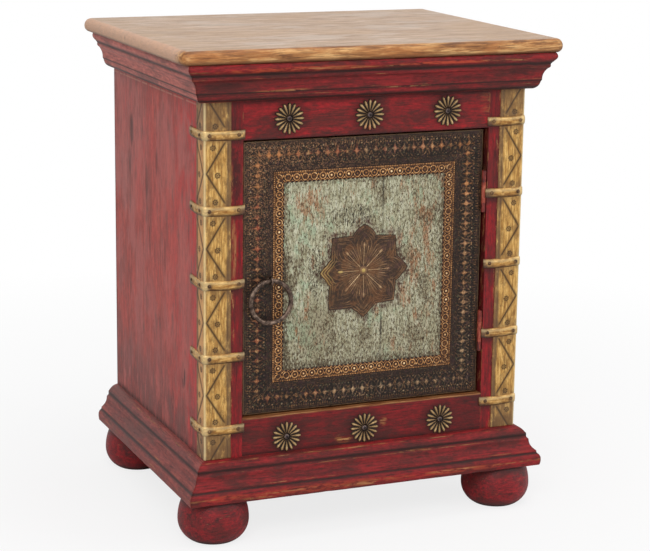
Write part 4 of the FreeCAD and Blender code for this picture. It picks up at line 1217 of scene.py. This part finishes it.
for label, side in (("left", -1), ("right", 1)):
    angle_piece("corner_brass_" + label, side)
    straps = [strap_piece(side, height, 30 + step) for step, height in enumerate(strap_heights)]
    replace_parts(joined("straps_hammered_" + label, straps, "carcass"), "straps_" + label)
    seat = strap_high.x - post_x - 0.35
    nails = []
    for step, height in enumerate(strap_heights):
        for x in strap_nail_front:
            nails.append(nail_piece((side * x, front_y - seat, height), (0, -1, 0), 2.6, 1.4, step))
        for y in strap_nail_side:
            nails.append(nail_piece((side * (post_x + seat), front_y + y, height), (side, 0, 0), 2.1, 1.4, step + 9))
    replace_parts(joined("strap_nails_hammered_" + label, nails, "carcass"), "strap_nails_" + label)

for label, height in rosette_heights.items():
    rosettes = [rosette_piece(x, height) for x in rosette_places]
    whole = joined("rosettes_pressed_" + label, rosettes, "carcass")
    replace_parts(whole, "rosettes_" + label, "rosette_nails")

frame_piece("border", 0, border_width, 0.62, border_copper, border_strip, "border_sheet")
frame_piece("band", border_width, band_width, 0.5, gilt_band, band_strip, "filigree_band")
medallion_piece()
ring_piece()
panel_piece()

# Finishes for the CAD nodes, by the start of their names; the rest are bare wood

wood = bare_wood()
hinge_paint = hinge_finish()
finishes = {
    "top_board": board_finish(),
    "back_panel": back_finish(),
    "top_rail": old_paint("top_rail_paint", "X", 1, TOP_RAIL_TONES, rail_grime_and_shade, rail_wear),
    "bottom_rail": old_paint("low_rail_paint", "X", 1, LOW_RAIL_TONES, rail_grime_and_shade, rail_wear),
    "front_stile_": old_paint("stile_paint", "Z", 2, STILE_TONES, stile_grime_and_shade, stile_wear, cloudy=0.5),
    "side_panel_": side_finish(),
    "foot_": foot_finish(),
    "door_plank_": panel_finish("plank_paint", True),
    "hinge_upper_": hinge_paint,
    "hinge_lower_": hinge_paint,
    "pull_staple": ring_iron,
    "ledge_nails": nail_iron,
    "rosette_nails": rosette_brass,
}
finishes.update(dict.fromkeys(
    ("catch_magnet", "strike_plate", "cleat_screws", "hinge_frame_screws", "hinge_door_screws"), steel))
for name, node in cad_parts.items():
    node.data.materials.clear()
    node.data.materials.append(next((finish for start, finish in finishes.items() if name.startswith(start)), wood))

# Floor, white surroundings, lamps and camera. The lengths from here on are metres.

floor_material = bpy.data.materials.new("floor")
nodes = Nodes(floor_material)
distance = nodes.add("VectorMath", nodes.add("TexCoord").outputs["Object"], operation="LENGTH").outputs["Value"]
glow_share = nodes.add("MapRange", distance, 0.35, 1.3, 0.80, 1.0).outputs[0]
seen = nodes.calc("MULTIPLY", nodes.add("LightPath").outputs["Is Camera Ray"], glow_share)
diffuse = nodes.add("BsdfDiffuse", (0.86, 0.86, 0.86, 1)).outputs[0]
glow = nodes.add("Emission", (1, 1, 1, 1), 1.0).outputs[0]
nodes.add("OutputMaterial", nodes.add("MixShader", seen, diffuse, glow).outputs[0])
half = 6.0
floor_mesh = bpy.data.meshes.new("floor")
floor_mesh.from_pydata([(-half, -half, 0), (half, -half, 0), (half, half, 0), (-half, half, 0)], [], [(0, 1, 2, 3)])
floor_mesh.materials.append(floor_material)
linked("floor", floor_mesh)

world = bpy.data.worlds.new("studio")
bpy.context.scene.world = world
nodes = Nodes(world)
rays = nodes.add("LightPath").outputs
mirrored = nodes.calc("MAXIMUM", rays["Is Glossy Ray"], rays["Is Transmission Ray"])
shown = nodes.calc("MAXIMUM", rays["Is Camera Ray"], mirrored)
strength = nodes.add("MapRange", shown, 0.0, 1.0, 0.44, 1.0).outputs[0]
nodes.add("OutputWorld", nodes.add("Background", (1, 1, 1, 1), strength).outputs[0])


def lamp(name, place, aim, size, power):
    light = bpy.data.lights.new(name, "AREA")
    light.shape = "RECTANGLE"
    light.size, light.size_y = size
    light.energy = power
    holder = linked(name, light)
    holder.location = place
    holder.rotation_euler = (Vector(aim) - Vector(place)).to_track_quat("-Z", "Y").to_euler()


lamp("key", (-1.4, -2.3, 2.2), (0, 0, 0.32), (1.6, 1.4), 42)
lamp("fill", (2.2, -1.6, 1.2), (0, 0, 0.30), (1.4, 1.4), 14)
lamp("overhead", (0.2, -0.2, 2.6), (0, 0, 0.5), (1.6, 1.6), 18)

camera_data = bpy.data.cameras.new("camera")
camera_data.sensor_width = 36
camera_data.lens = 110.95
camera = linked("camera", camera_data)
yaw, pitch, roll = 22.95, 13.03, 0.76
view = Matrix.Translation((-0.9685, -2.3263, 0.8607))
for degrees, axis in ((-yaw, "Z"), (90 - pitch, "X"), (roll, "Z")):
    view = view @ Matrix.Rotation(math.radians(degrees), 4, axis)
camera.matrix_world = view
bpy.context.scene.camera = camera
bpy.context.scene.view_settings.view_transform = "Standard"
